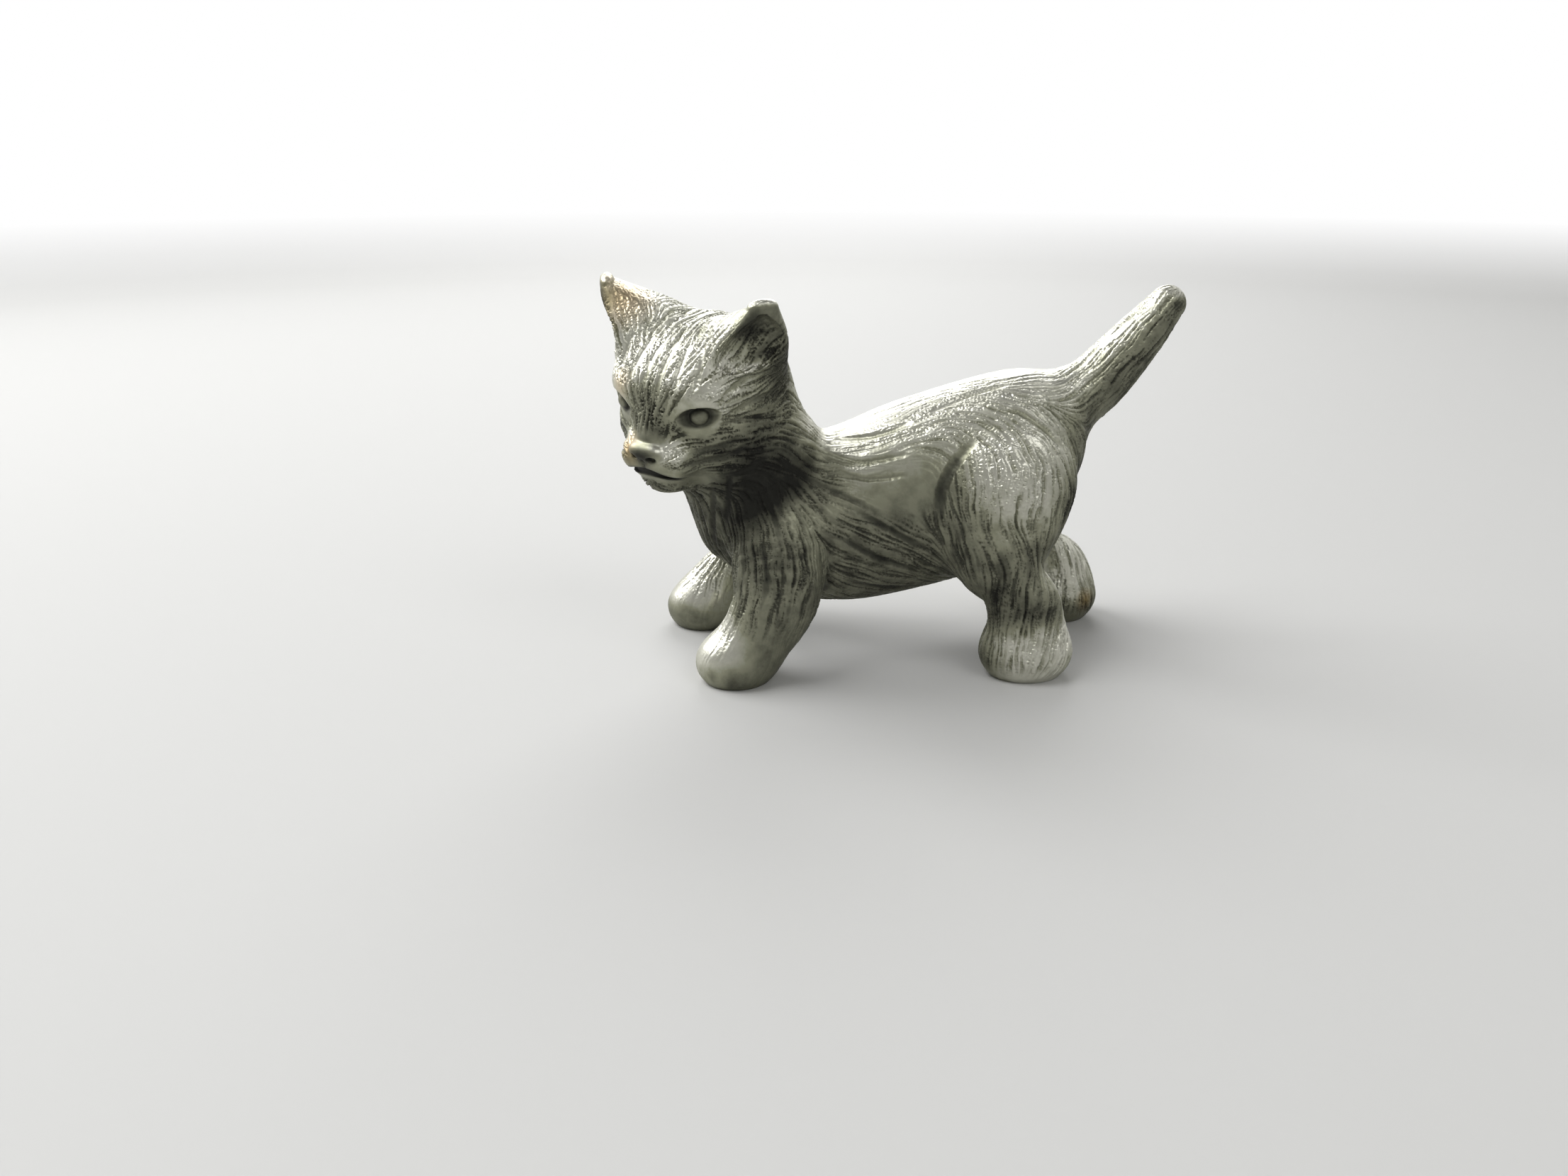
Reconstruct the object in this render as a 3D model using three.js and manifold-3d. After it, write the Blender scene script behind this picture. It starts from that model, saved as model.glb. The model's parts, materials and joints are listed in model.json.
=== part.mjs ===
// Pewter kitten, standing with its head turned to its left.
// Seven solid castings, soldered together: trunk, head, tail and four legs.
// Millimetres, +Z up, the tail end toward +X and the kitten's left side toward -Y.
import * as THREE from 'three';
import { mergeVertices } from 'three/addons/utils/BufferGeometryUtils.js';
import Module from 'manifold-3d';

const wasm = await Module();
wasm.setup();

// Solder space between two castings
const SOLDER_GAP = 0.2;

// Trunk: places along the body
const SHOULDER_TO_HIP = 18.0;
const CHEST_AHEAD_OF_SHOULDER = 3.2;
const RIBS_BEHIND_SHOULDER = 4.6;
const WAIST_AHEAD_OF_HIP = 8.0;
const RUMP_BEHIND_HIP = 4.0;
const CHEST_ROUNDING = 1.8;
const RUMP_ROUNDING = 2.0;

// Trunk: heights above the ground and widths at each place
const CHEST = { top: 16.2, bottom: 8.2, width: 8.4 };
const WITHERS = { top: 17.2, bottom: 5.6, width: 11.2 };
const RIBS = { top: 17.3, bottom: 4.3, width: 11.4 };
const WAIST = { top: 19.4, bottom: 4.7, width: 11.2 };
const HIP = { top: 21.6, bottom: 7.2, width: 11.0 };
const RUMP = { top: 21.2, bottom: 12.3, width: 7.6 };

// Neck: radii, how far its middle bows toward the tail, and where its flat end stops inside the head
const NECK_ROOT_RADIUS = 5.0;
const NECK_MIDDLE_RADIUS = 5.5;
const NECK_TOP_RADIUS = 4.2;
const NECK_BOW = 0.9;
const NECK_SHORT_OF_HEAD_CENTRE = 2.2;

// Head: where its centre is and how it is turned, nodded and tilted
const HEAD_AHEAD_OF_SHOULDER = 4.2;
const HEAD_ASIDE = 1.5;
const HEAD_HEIGHT = 20.3;
const HEAD_TURN = THREE.MathUtils.degToRad(54);
const HEAD_NOD = THREE.MathUtils.degToRad(11);
const HEAD_TILT = THREE.MathUtils.degToRad(4.5);

// Head: masses as half sizes, and their centres forward of and above the head's centre
const SKULL = { forward: 6.0, side: 6.2, up: 5.8, ahead: -0.5, rise: 0 };
const BROW = { forward: 4.6, side: 5.1, up: 3.9, ahead: 1.7, rise: 1.4 };
const JOWL = { forward: 4.9, side: 5.8, up: 3.8, ahead: 0.9, rise: -1.9 };
const BRIDGE = { forward: 2.9, side: 1.7, up: 2.2, ahead: 4.2, rise: -0.5 };
const MUZZLE = { forward: 2.9, side: 3.2, up: 2.0, ahead: 4.6, rise: -2.3 };
const CHIN = { forward: 2.3, side: 2.1, up: 1.3, ahead: 4.4, rise: -4.1 };
const NOSE = { forward: 0.85, side: 1.35, up: 0.72, ahead: 7.0, rise: -1.45 };
const MOUTH = { forward: 1.6, side: 2.5, up: 0.28, ahead: 6.3, rise: -3.2 };

// Eyes: balls set in almond sockets
const EYE_RADIUS = 0.9;
const EYE_AHEAD = 4.65;
const EYE_OUT = 2.97;
const EYE_RISE = 0.75;
const SOCKET = { forward: 1.0, side: 1.6, up: 0.85 };
const SOCKET_AHEAD_OF_EYE = 0.75;

// Ears: upright half cones, cupped on the face that turns outward
const EAR_TURN = THREE.MathUtils.degToRad(50);
const EAR_BASE = { ahead: 0.45, out: 2.45, rise: 2.6, halfWidth: 4.2, depth: 3.1 };
const EAR_MIDDLE = { ahead: 1.0, out: 4.45, rise: 5.4, halfWidth: 3.0, depth: 2.4 };
const EAR_TIP = { ahead: 1.5, out: 6.1, rise: 7.65, halfWidth: 1.5, depth: 1.0 };
const EAR_TIP_ROUNDING = 1.05;
const EAR_WALL = 0.7;
const EAR_CUP_OFFSET = 0.9;
const EAR_CUP_FOOT = { ahead: 2.5, out: 5.6, rise: 3.8, halfWidth: 0.9, depth: 0.5 };

// Legs: how far the paws stand out from the middle line, and each paw's step from its shoulder or hip
const PAW_OUT = 5.9;
const PAW_SINK = 0.5;
const LEG_SEAT = 2.4;
const LEG_OVAL_HOLD = 0.6;
const FRONT_LEFT_STEP = -2.4;
const FRONT_RIGHT_STEP = -4.8;
const HIND_LEFT = { step: 1.2, hockHeight: 5.0 };
const HIND_RIGHT = { step: 6.5, hockHeight: 4.2 };

// Front legs: half sizes across and along, heights, and how far the upper leg lies behind the shoulder line
const SHOULDER = { across: 2.0, along: 2.9, height: 12.4, inset: 1.5, rounding: 2.2 };
const UPPER_ARM = { across: 2.3, along: 3.4, height: 9.0 };
const ELBOW = { across: 2.3, along: 3.1, height: 6.2, follow: 0.1 };
const WRIST = { across: 2.1, along: 2.6, height: 3.2, back: 1.5 };
const FRONT_PAW = { across: 2.3, along: 2.7, up: 2.0 };
const ARM_BEHIND_SHOULDER = 0.9;

// Hind legs: half sizes, heights, and how far each place lies ahead of or behind the hip or the paw
const HAUNCH = { across: 2.2, along: 4.0, height: 16.0, back: 0.6, inset: 1.2, rounding: 1.8 };
const THIGH = { across: 2.7, along: 4.5, height: 12.6, ahead: 0.6 };
const KNEE = { across: 2.5, along: 3.5, height: 9.4, ahead: 1.1 };
const SHANK = { across: 2.2, along: 2.5 };
const HOCK = { across: 2.1, along: 2.75, ahead: 0.25 };
const HIND_PAW = { across: 2.6, along: 3.3, up: 2.3 };

// Tail: radii, and places behind and above its root at the top of the rump
const TAIL_ROOT = { reach: -2.0, rise: -0.8, radius: 2.3 };
const TAIL_BASE = { reach: 1.8, rise: 1.0, radius: 2.3 };
const TAIL_MIDDLE = { reach: 5.1, rise: 4.5, radius: 1.9 };
const TAIL_TIP = { reach: 7.4, rise: 7.4, radius: 1.35 };

// Coat: the main grooves between its locks of hair, as round cuts that fade at both ends
const GROOVE_RADIUS = 0.42;
const GROOVE_DEPTH = 0.28;
const GROOVE_END_CLEAR = 0.05;

// Coat on each side of the body: places on each groove, behind the shoulder and in degrees from the spine
const BODY_GROOVES = [
  [[4.5, 38], [6.9, 50], [10.0, 48]],
  [[4.9, 55], [7.3, 64], [9.9, 62]],
  [[5.3, 24], [8.0, 30], [10.5, 27]],
  [[12.0, 22], [14.5, 16], [17.5, 14]],
  [[17.6, 28], [19.3, 36], [20.8, 48]],
  [[6.3, 87], [9.0, 104], [11.8, 120]],
  [[6.0, 111], [8.8, 127], [11.6, 139]],
  [[6.2, 141], [9.3, 152], [12.2, 161]],
  [[-2.4, 55], [-2.7, 80], [-2.9, 105]],
  [[-3.6, 66], [-3.8, 100], [-3.6, 135]],
  [[0.8, 54], [2.8, 62], [4.8, 72]],
  [[4.0, 70], [6.0, 79], [8.0, 90]],
];
const BODY_CORE_HEIGHT = 12.5;

// Coat on each side of the head: places on each groove, in degrees out from the nose and up from it
const HEAD_GROOVES = [
  [[6, 24], [7, 42], [9, 60]],
  [[18, 24], [21, 42], [27, 58]],
  [[31, 26], [35, 38], [40, 50]],
  [[48, 20], [60, 26], [72, 30]],
  [[54, 9], [70, 13], [88, 14]],
  [[22, -13], [40, -13], [58, -8]],
  [[22, -18], [42, -21], [62, -15]],
  [[46, -34], [60, -32], [76, -26]],
];

// Roundness of the forms
const LOFT_SIDES = 20;
const RINGS_PER_SPAN = 3;
const GROOVE_SIDES = 6;
const GROOVE_RINGS_PER_SPAN = 2;
const CAP_RINGS = 3;
const BALL_SEGMENTS = 20;
const BALL_RINGS = 12;

const X_AXIS = new THREE.Vector3(1, 0, 0);
const Y_AXIS = new THREE.Vector3(0, 1, 0);
const DOWN = new THREE.Vector3(0, 0, -1);
const ORIGIN = new THREE.Vector3(0, 0, 0);
const HANDS = [-1, 1];
const WELD = 1e-5;
const FAR = 100;

// A closed geometry as a solid that can be joined and cut
function solid(geometry) {
  geometry.deleteAttribute('normal');
  geometry.deleteAttribute('uv');
  const merged = mergeVertices(geometry, WELD);
  return new wasm.Manifold(new wasm.Mesh({
    numProp: 3,
    vertProperties: new Float32Array(merged.attributes.position.array),
    triVerts: new Uint32Array(merged.index.array),
  }));
}

// A solid as a named mesh
function casting(name, shape, material) {
  const { vertProperties, triVerts } = shape.getMesh();
  const geometry = new THREE.BufferGeometry();
  geometry.setAttribute('position', new THREE.BufferAttribute(vertProperties, 3));
  geometry.setIndex(new THREE.BufferAttribute(triVerts, 1));
  geometry.computeVertexNormals();
  const mesh = new THREE.Mesh(geometry, material);
  mesh.name = name;
  return mesh;
}

// A smooth run of one number through the stations, matching the spine's own spline
function smoothRun(values) {
  const points = values.map((value) => new THREE.Vector3(value, 0, 0));
  const curve = new THREE.CatmullRomCurve3(points, false, 'catmullrom');
  return (t) => curve.getPoint(t).x;
}

// A loft through oval stations { at, across, deep }. across is the half size along the side axis and deep the
// other one. An end is rounded over its cap length, or flat where that is zero. The ovals face along the spine,
// drawn toward the facing direction by the share called hold, and grow swells the whole form.
function loft({
  stations, side, startCap = 0, endCap = 0, facing = X_AXIS, hold = 0, grow = 0,
  sides = LOFT_SIDES, ringsPerSpan = RINGS_PER_SPAN,
}) {
  const spine = new THREE.CatmullRomCurve3(stations.map((s) => s.at), false, 'catmullrom');
  const across = smoothRun(stations.map((s) => s.across));
  const deep = smoothRun(stations.map((s) => s.deep));
  const normalAt = (t) => spine.getTangent(t).lerp(facing, hold).normalize();
  const positions = [];
  let ringCount = 0;
  const addRing = (t, shift, scale) => {
    const normal = normalAt(t);
    const up = new THREE.Vector3().crossVectors(normal, side).normalize();
    const flat = new THREE.Vector3().crossVectors(up, normal).normalize();
    const centre = spine.getPoint(t).addScaledVector(normal, shift);
    for (let k = 0; k < sides; k++) {
      const angle = (k / sides) * Math.PI * 2;
      const point = centre.clone();
      point.addScaledVector(flat, (across(t) + grow) * scale * Math.cos(angle));
      point.addScaledVector(up, (deep(t) + grow) * scale * Math.sin(angle));
      positions.push(...point.toArray());
    }
    ringCount += 1;
  };
  const addCap = (t, length, step) => {
    const angle = (step / CAP_RINGS) * (Math.PI / 2);
    addRing(t, length * Math.sin(angle), Math.cos(angle));
  };
  if (startCap > 0) for (let i = CAP_RINGS - 1; i > 0; i--) addCap(0, -(startCap + grow), i);
  else if (grow > 0) addRing(0, -grow, 1);
  const steps = (stations.length - 1) * ringsPerSpan;
  for (let i = 0; i <= steps; i++) addRing(i / steps, 0, 1);
  if (endCap > 0) for (let i = 1; i < CAP_RINGS; i++) addCap(1, endCap + grow, i);
  else if (grow > 0) addRing(1, grow, 1);

  const firstPole = ringCount * sides;
  const lastPole = firstPole + 1;
  const lastRing = firstPole - sides;
  positions.push(...spine.getPoint(0).addScaledVector(normalAt(0), -(startCap + grow)).toArray());
  positions.push(...spine.getPoint(1).addScaledVector(normalAt(1), endCap + grow).toArray());
  const index = [];
  for (let k = 0; k < sides; k++) {
    const next = (k + 1) % sides;
    index.push(firstPole, next, k);
    index.push(lastPole, lastRing + k, lastRing + next);
    for (let a = 0; a < lastRing; a += sides) {
      const b = a + sides;
      index.push(a + k, a + next, b + next);
      index.push(a + k, b + next, b + k);
    }
  }
  const geometry = new THREE.BufferGeometry();
  geometry.setAttribute('position', new THREE.Float32BufferAttribute(positions, 3));
  geometry.setIndex(index);
  return solid(geometry);
}

// An ellipsoid with half sizes along X, Y and Z, turned about Z and then placed
function ellipsoid(halfX, halfY, halfZ, centre, turn = 0) {
  const geometry = new THREE.SphereGeometry(1, BALL_SEGMENTS, BALL_RINGS);
  geometry.scale(halfX, halfY, halfZ);
  geometry.rotateZ(turn);
  geometry.translate(centre.x, centre.y, centre.z);
  return solid(geometry);
}

// A box between two corners
function block(low, high) {
  const size = high.clone().sub(low);
  const middle = low.clone().add(high).multiplyScalar(0.5);
  const geometry = new THREE.BoxGeometry(size.x, size.y, size.z);
  geometry.translate(middle.x, middle.y, middle.z);
  return solid(geometry);
}

// A place on a solid's skin, outward from a place inside it
function onSkin(skin, { inside, outward }) {
  const ray = new THREE.Raycaster(inside.clone().addScaledVector(outward, FAR), outward.clone().negate());
  return { point: ray.intersectObject(skin)[0].point, outward };
}

// A groove between two locks of hair, through places on the skin
function groove(places) {
  const stations = places.map(({ point, outward }, i) => {
    const end = i === 0 || i === places.length - 1;
    const lift = GROOVE_RADIUS + (end ? GROOVE_END_CLEAR : -GROOVE_DEPTH);
    return { at: point.clone().addScaledVector(outward, lift), across: GROOVE_RADIUS, deep: GROOVE_RADIUS };
  });
  const side = places[1].outward;
  return loft({ stations, side, sides: GROOVE_SIDES, ringsPerSpan: GROOVE_RINGS_PER_SPAN });
}

// A solid with the grooves of its coat cut into it. place says where a pair of numbers lies on each hand.
function combed(shape, grooves, place) {
  const skin = casting('', shape, new THREE.MeshBasicMaterial());
  let coat = shape;
  for (const hand of HANDS) {
    for (const pairs of grooves) {
      const places = pairs.map((pair) => onSkin(skin, place(pair, hand)));
      coat = coat.subtract(groove(places));
    }
  }
  return coat;
}

const shoulderX = -SHOULDER_TO_HIP / 2;
const hipX = SHOULDER_TO_HIP / 2;
const chestX = shoulderX - CHEST_AHEAD_OF_SHOULDER;
const rumpX = hipX + RUMP_BEHIND_HIP;
const headCentre = new THREE.Vector3(shoulderX - HEAD_AHEAD_OF_SHOULDER, -HEAD_ASIDE, HEAD_HEIGHT);

// The trunk: upright ovals from the chest to the rump
function trunk(grow) {
  const station = (x, { top, bottom, width }) => ({
    at: new THREE.Vector3(x, 0, (top + bottom) / 2),
    across: width / 2,
    deep: (top - bottom) / 2,
  });
  const stations = [
    station(chestX, CHEST),
    station(shoulderX, WITHERS),
    station(shoulderX + RIBS_BEHIND_SHOULDER, RIBS),
    station(hipX - WAIST_AHEAD_OF_HIP, WAIST),
    station(hipX, HIP),
    station(rumpX, RUMP),
  ];
  return loft({ stations, side: Y_AXIS, hold: 1, startCap: CHEST_ROUNDING, endCap: RUMP_ROUNDING, grow });
}

// The neck runs from between the shoulders into the head, where its flat end is a spigot
function neck(grow) {
  const root = new THREE.Vector3(shoulderX, 0, (WITHERS.top + WITHERS.bottom) / 2);
  const direction = headCentre.clone().sub(root).normalize();
  const top = headCentre.clone().addScaledVector(direction, -NECK_SHORT_OF_HEAD_CENTRE);
  const middle = root.clone().lerp(top, 0.5).addScaledVector(X_AXIS, NECK_BOW);
  const stations = [
    { at: root, across: NECK_ROOT_RADIUS, deep: NECK_ROOT_RADIUS },
    { at: middle, across: NECK_MIDDLE_RADIUS, deep: NECK_MIDDLE_RADIUS },
    { at: top, across: NECK_TOP_RADIUS, deep: NECK_TOP_RADIUS },
  ];
  return loft({ stations, side: Y_AXIS, grow });
}

// A place in the body's coat
function placeOnBody([behind, round], hand) {
  const angle = THREE.MathUtils.degToRad(round);
  const inside = new THREE.Vector3(shoulderX + behind, 0, BODY_CORE_HEIGHT);
  return { inside, outward: new THREE.Vector3(0, hand * Math.sin(angle), Math.cos(angle)) };
}

// All that lies inward of a leg's flat seat in the trunk
function inwardOfSeat(hand, grow) {
  const seat = LEG_SEAT - grow;
  const low = new THREE.Vector3(-FAR, hand < 0 ? -seat : -FAR, -FAR);
  const high = new THREE.Vector3(FAR, hand < 0 ? FAR : seat, FAR);
  return block(low, high);
}

// A leg from its stations, its paw at the ground and its flat seat. hand is -1 on the left, +1 on the right.
function leg(stations, rounding, paw, pawX, hand, grow) {
  const pawCentre = new THREE.Vector3(pawX, hand * PAW_OUT, paw.up - PAW_SINK);
  const foot = ellipsoid(paw.along + grow, paw.across + grow, paw.up + grow, pawCentre);
  const limb = loft({ stations, side: Y_AXIS, facing: DOWN, hold: LEG_OVAL_HOLD, startCap: rounding, grow });
  return limb.add(foot).subtract(inwardOfSeat(hand, grow));
}

// A front leg, from the shoulder through elbow and wrist
function frontLeg(hand, step, grow) {
  const pawX = shoulderX + step;
  const armX = shoulderX + ARM_BEHIND_SHOULDER;
  const paw = hand * PAW_OUT;
  const shoulder = hand * (WITHERS.width / 2 - SHOULDER.inset);
  const station = (x, y, size) => ({
    at: new THREE.Vector3(x, y, size.height),
    across: size.across,
    deep: size.along,
  });
  const stations = [
    station(armX, shoulder, SHOULDER),
    station(armX, (shoulder + paw) / 2, UPPER_ARM),
    station(armX + ELBOW.follow * step, paw, ELBOW),
    station(pawX + WRIST.back, paw, WRIST),
    station(pawX, paw, { ...WRIST, height: FRONT_PAW.up - PAW_SINK }),
  ];
  return leg(stations, SHOULDER.rounding, FRONT_PAW, pawX, hand, grow);
}

// A hind leg, from the haunch through knee and hock
function hindLeg(hand, { step, hockHeight }, grow) {
  const pawX = hipX + step;
  const paw = hand * PAW_OUT;
  const haunch = hand * (HIP.width / 2 - HAUNCH.inset);
  const station = (x, y, size) => ({
    at: new THREE.Vector3(x, y, size.height),
    across: size.across,
    deep: size.along,
  });
  const knee = station(hipX - KNEE.ahead, (haunch + paw) / 2, KNEE);
  const hock = station(pawX - HOCK.ahead, paw, { ...HOCK, height: hockHeight });
  const shank = { at: knee.at.clone().lerp(hock.at, 0.5), across: SHANK.across, deep: SHANK.along };
  const stations = [
    station(hipX + HAUNCH.back, haunch, HAUNCH),
    station(hipX - THIGH.ahead, haunch, THIGH),
    knee,
    shank,
    hock,
    station(pawX, paw, { ...HOCK, height: HIND_PAW.up - PAW_SINK }),
  ];
  return leg(stations, HAUNCH.rounding, HIND_PAW, pawX, hand, grow);
}

// The tail, its root seated in the rump
function tail(grow) {
  const root = new THREE.Vector3(rumpX, 0, RUMP.top - TAIL_ROOT.radius);
  const stations = [TAIL_ROOT, TAIL_BASE, TAIL_MIDDLE, TAIL_TIP].map(({ reach, rise, radius }) => ({
    at: root.clone().add(new THREE.Vector3(reach, 0, rise)),
    across: radius,
    deep: radius,
  }));
  return loft({ stations, side: Y_AXIS, endCap: TAIL_TIP.radius, grow });
}

// One of the head's masses, in the head's own frame: it faces -X, its left is -Y
function mass({ forward, side, up, ahead, rise }) {
  return ellipsoid(forward, side, up, new THREE.Vector3(-ahead, 0, rise));
}

// One ear, as its outside and the cup cut from its open face
function ear(hand) {
  const opening = new THREE.Vector3(-Math.cos(EAR_TURN), hand * Math.sin(EAR_TURN), 0);
  const side = new THREE.Vector3(-opening.y, opening.x, 0);
  const station = ({ ahead, out, rise, halfWidth, depth }) => ({
    at: new THREE.Vector3(-ahead, hand * out, rise),
    across: halfWidth,
    deep: depth,
  });
  const stations = [EAR_BASE, EAR_MIDDLE, EAR_TIP].map(station);
  const hollow = stations.slice(1).map(({ at, across, deep }) => ({
    at: at.clone().addScaledVector(opening, deep * EAR_CUP_OFFSET),
    across: across - EAR_WALL,
    deep,
  }));
  hollow.unshift(station(EAR_CUP_FOOT));
  const outside = loft({ stations, side, endCap: EAR_TIP_ROUNDING });
  return { outside, cup: loft({ stations: hollow, side }) };
}

// One eye, as its ball and the socket round it
function eye(hand) {
  const gaze = Math.atan2(EYE_OUT, EYE_AHEAD);
  const centre = new THREE.Vector3(-EYE_AHEAD, hand * EYE_OUT, EYE_RISE);
  const outward = new THREE.Vector3(-Math.cos(gaze), hand * Math.sin(gaze), 0);
  const front = centre.clone().addScaledVector(outward, SOCKET_AHEAD_OF_EYE);
  const ball = ellipsoid(EYE_RADIUS, EYE_RADIUS, EYE_RADIUS, centre);
  return { ball, socket: ellipsoid(SOCKET.forward, SOCKET.side, SOCKET.up, front, -hand * gaze) };
}

// A place in the head's coat
function placeOnHead([out, up], hand) {
  const outward = new THREE.Vector3().setFromSphericalCoords(
    1, THREE.MathUtils.degToRad(90 - up), THREE.MathUtils.degToRad(out),
  );
  return { inside: ORIGIN, outward: new THREE.Vector3(-outward.z, hand * outward.x, outward.y) };
}

// The head, in its own frame
function head() {
  let shape = [SKULL, BROW, JOWL, BRIDGE, MUZZLE, CHIN].map(mass).reduce((whole, next) => whole.add(next));
  const ears = HANDS.map(ear);
  for (const { outside } of ears) shape = shape.add(outside);
  for (const { cup } of ears) shape = shape.subtract(cup);
  shape = combed(shape, HEAD_GROOVES, placeOnHead);
  for (const { ball, socket } of HANDS.map(eye)) shape = shape.subtract(socket).add(ball);
  return shape.subtract(mass(MOUTH)).add(mass(NOSE));
}

const headPlace = new THREE.Matrix4();
headPlace.makeRotationFromEuler(new THREE.Euler(HEAD_TILT, -HEAD_NOD, HEAD_TURN, 'ZYX'));
headPlace.setPosition(headCentre);

const LEGS = {
  front_left_leg: (grow) => frontLeg(-1, FRONT_LEFT_STEP, grow),
  front_right_leg: (grow) => frontLeg(1, FRONT_RIGHT_STEP, grow),
  hind_left_leg: (grow) => hindLeg(-1, HIND_LEFT, grow),
  hind_right_leg: (grow) => hindLeg(1, HIND_RIGHT, grow),
};

const pewter = new THREE.MeshStandardMaterial({ color: 0x9a958a, roughness: 0.36, metalness: 0.9 });
const kitten = new THREE.Group();

// The trunk and neck, with pockets for the legs and the tail
let body = combed(trunk(0).add(neck(0)), BODY_GROOVES, placeOnBody).subtract(tail(SOLDER_GAP));
for (const makeLeg of Object.values(LEGS)) body = body.subtract(makeLeg(SOLDER_GAP));
kitten.add(casting('body', body, pewter));

// The head, with a socket over the neck
const placedHead = head().transform(headPlace.elements);
const seatedHead = placedHead.subtract(neck(SOLDER_GAP)).subtract(trunk(SOLDER_GAP));
kitten.add(casting('head', seatedHead, pewter));
kitten.add(casting('tail', tail(0), pewter));

// The legs, with flat soles on the ground
const belowGround = block(new THREE.Vector3(-FAR, -FAR, -FAR), new THREE.Vector3(FAR, FAR, 0));
for (const [name, makeLeg] of Object.entries(LEGS)) {
  kitten.add(casting(name, makeLeg(0).subtract(belowGround), pewter));
}

// The origin is on the ground, in the middle of the space that the kitten takes up
const extent = new THREE.Box3().setFromObject(kitten);
const middle = extent.getCenter(new THREE.Vector3());
kitten.position.set(-middle.x, -middle.y, -extent.min.z);

export default kitten;
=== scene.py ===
"""Looks of the pewter kitten: castings carved with a coat and a face, antiqued, with painted shade and
highlights, on a plain stage.
"""
import json
import math

import bpy
import numpy as np
from mathutils import Euler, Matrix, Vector, kdtree


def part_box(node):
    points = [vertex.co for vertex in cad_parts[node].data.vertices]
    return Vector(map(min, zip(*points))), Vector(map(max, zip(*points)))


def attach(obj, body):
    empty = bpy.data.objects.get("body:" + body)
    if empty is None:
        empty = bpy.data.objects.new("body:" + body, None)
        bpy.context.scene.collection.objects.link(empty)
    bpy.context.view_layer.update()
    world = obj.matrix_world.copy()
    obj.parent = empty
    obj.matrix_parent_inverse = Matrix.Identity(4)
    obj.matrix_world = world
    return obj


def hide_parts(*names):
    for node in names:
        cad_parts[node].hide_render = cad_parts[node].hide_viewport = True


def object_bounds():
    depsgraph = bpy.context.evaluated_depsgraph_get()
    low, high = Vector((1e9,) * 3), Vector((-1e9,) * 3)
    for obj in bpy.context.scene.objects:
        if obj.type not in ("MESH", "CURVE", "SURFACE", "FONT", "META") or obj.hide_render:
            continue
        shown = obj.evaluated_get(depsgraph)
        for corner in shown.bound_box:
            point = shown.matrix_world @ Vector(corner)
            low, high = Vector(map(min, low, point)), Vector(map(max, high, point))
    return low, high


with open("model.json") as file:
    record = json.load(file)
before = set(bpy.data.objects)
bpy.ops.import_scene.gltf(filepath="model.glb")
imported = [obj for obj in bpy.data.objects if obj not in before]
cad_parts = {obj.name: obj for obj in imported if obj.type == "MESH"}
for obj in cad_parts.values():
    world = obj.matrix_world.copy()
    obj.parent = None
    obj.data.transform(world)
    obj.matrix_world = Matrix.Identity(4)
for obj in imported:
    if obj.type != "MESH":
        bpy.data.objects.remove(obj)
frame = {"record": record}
cad_low, cad_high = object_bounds()

# Sculpting is in millimetres from the trunk's middle, on a grid of clay that is full only near the surface
MM = 0.001
STEP = 0.08
BLOCK = 4
MARGIN = 1.6
FAR = np.float32(9.0)
TINY = np.float32(1e-6)
SPLINE_STEPS = 5
SEED = 7
rng = np.random.default_rng(SEED)

# Places along the body, and the trunk's middle between the soles that the castings stand on
SHOULDER_X = -9.0
HIP_X = 9.0
RUMP_X = 13.0
ARM_X = -8.1
HIND_LEFT_STEP = 1.2
soles = {mount["name"]: np.array(mount["pos_m"]) / MM for mount in frame["record"]["mounts"]}
left_sole, right_sole = soles["hind_left_sole"], soles["hind_right_sole"]
MIDDLE = np.array((left_sole[0] - HIND_LEFT_STEP - HIP_X, (left_sole[1] + right_sole[1]) / 2, 0))

# Trunk: place, top, bottom and width of its upright ovals, and the rounding of its ends
TRUNK = (
    (SHOULDER_X - 3.2, 16.2, 8.2, 8.4),
    (SHOULDER_X, 17.2, 5.6, 11.2),
    (SHOULDER_X + 4.6, 17.3, 4.3, 11.4),
    (HIP_X - 8.0, 19.4, 4.7, 11.2),
    (HIP_X, 21.6, 7.2, 11.0),
    (RUMP_X, 21.2, 12.3, 7.6),
)
CHEST_ROUNDING = 1.8
RUMP_ROUNDING = 2.0

# Neck: its root's height, then its sections on the way to the head's centre and how softly it joins the trunk
NECK_ROOT_HEIGHT = 11.4
NECK_MIDDLE_SHARE = 0.39
NECK_MIDDLE_SHIFT = 0.9
NECK_TOP_SHARE = 0.78
NECK_RADII = (5.0, 5.5, 4.2)
NECK_BLEND = 0.8

# Front legs: height, half length and half width of the sections from the shoulder down, and their places
FRONT_SECTIONS = ((11.0, 2.9, 2.0), (9.0, 3.4, 2.3), (6.2, 3.1, 2.3), (3.2, 2.6, 2.1), (1.7, 2.2, 2.1))
SHOULDER_OUT = 4.1
ARM_OUT = 5.0
ARM_FOLLOW = 0.1
WRIST_BEHIND = 1.5
PAW_BEHIND = 0.3
FRONT_PAW_HEIGHT = 1.5
FRONT_PAW_HALF = (2.7, 2.3, 2.0)
FRONT_PAW_BLEND = 1.8

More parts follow.
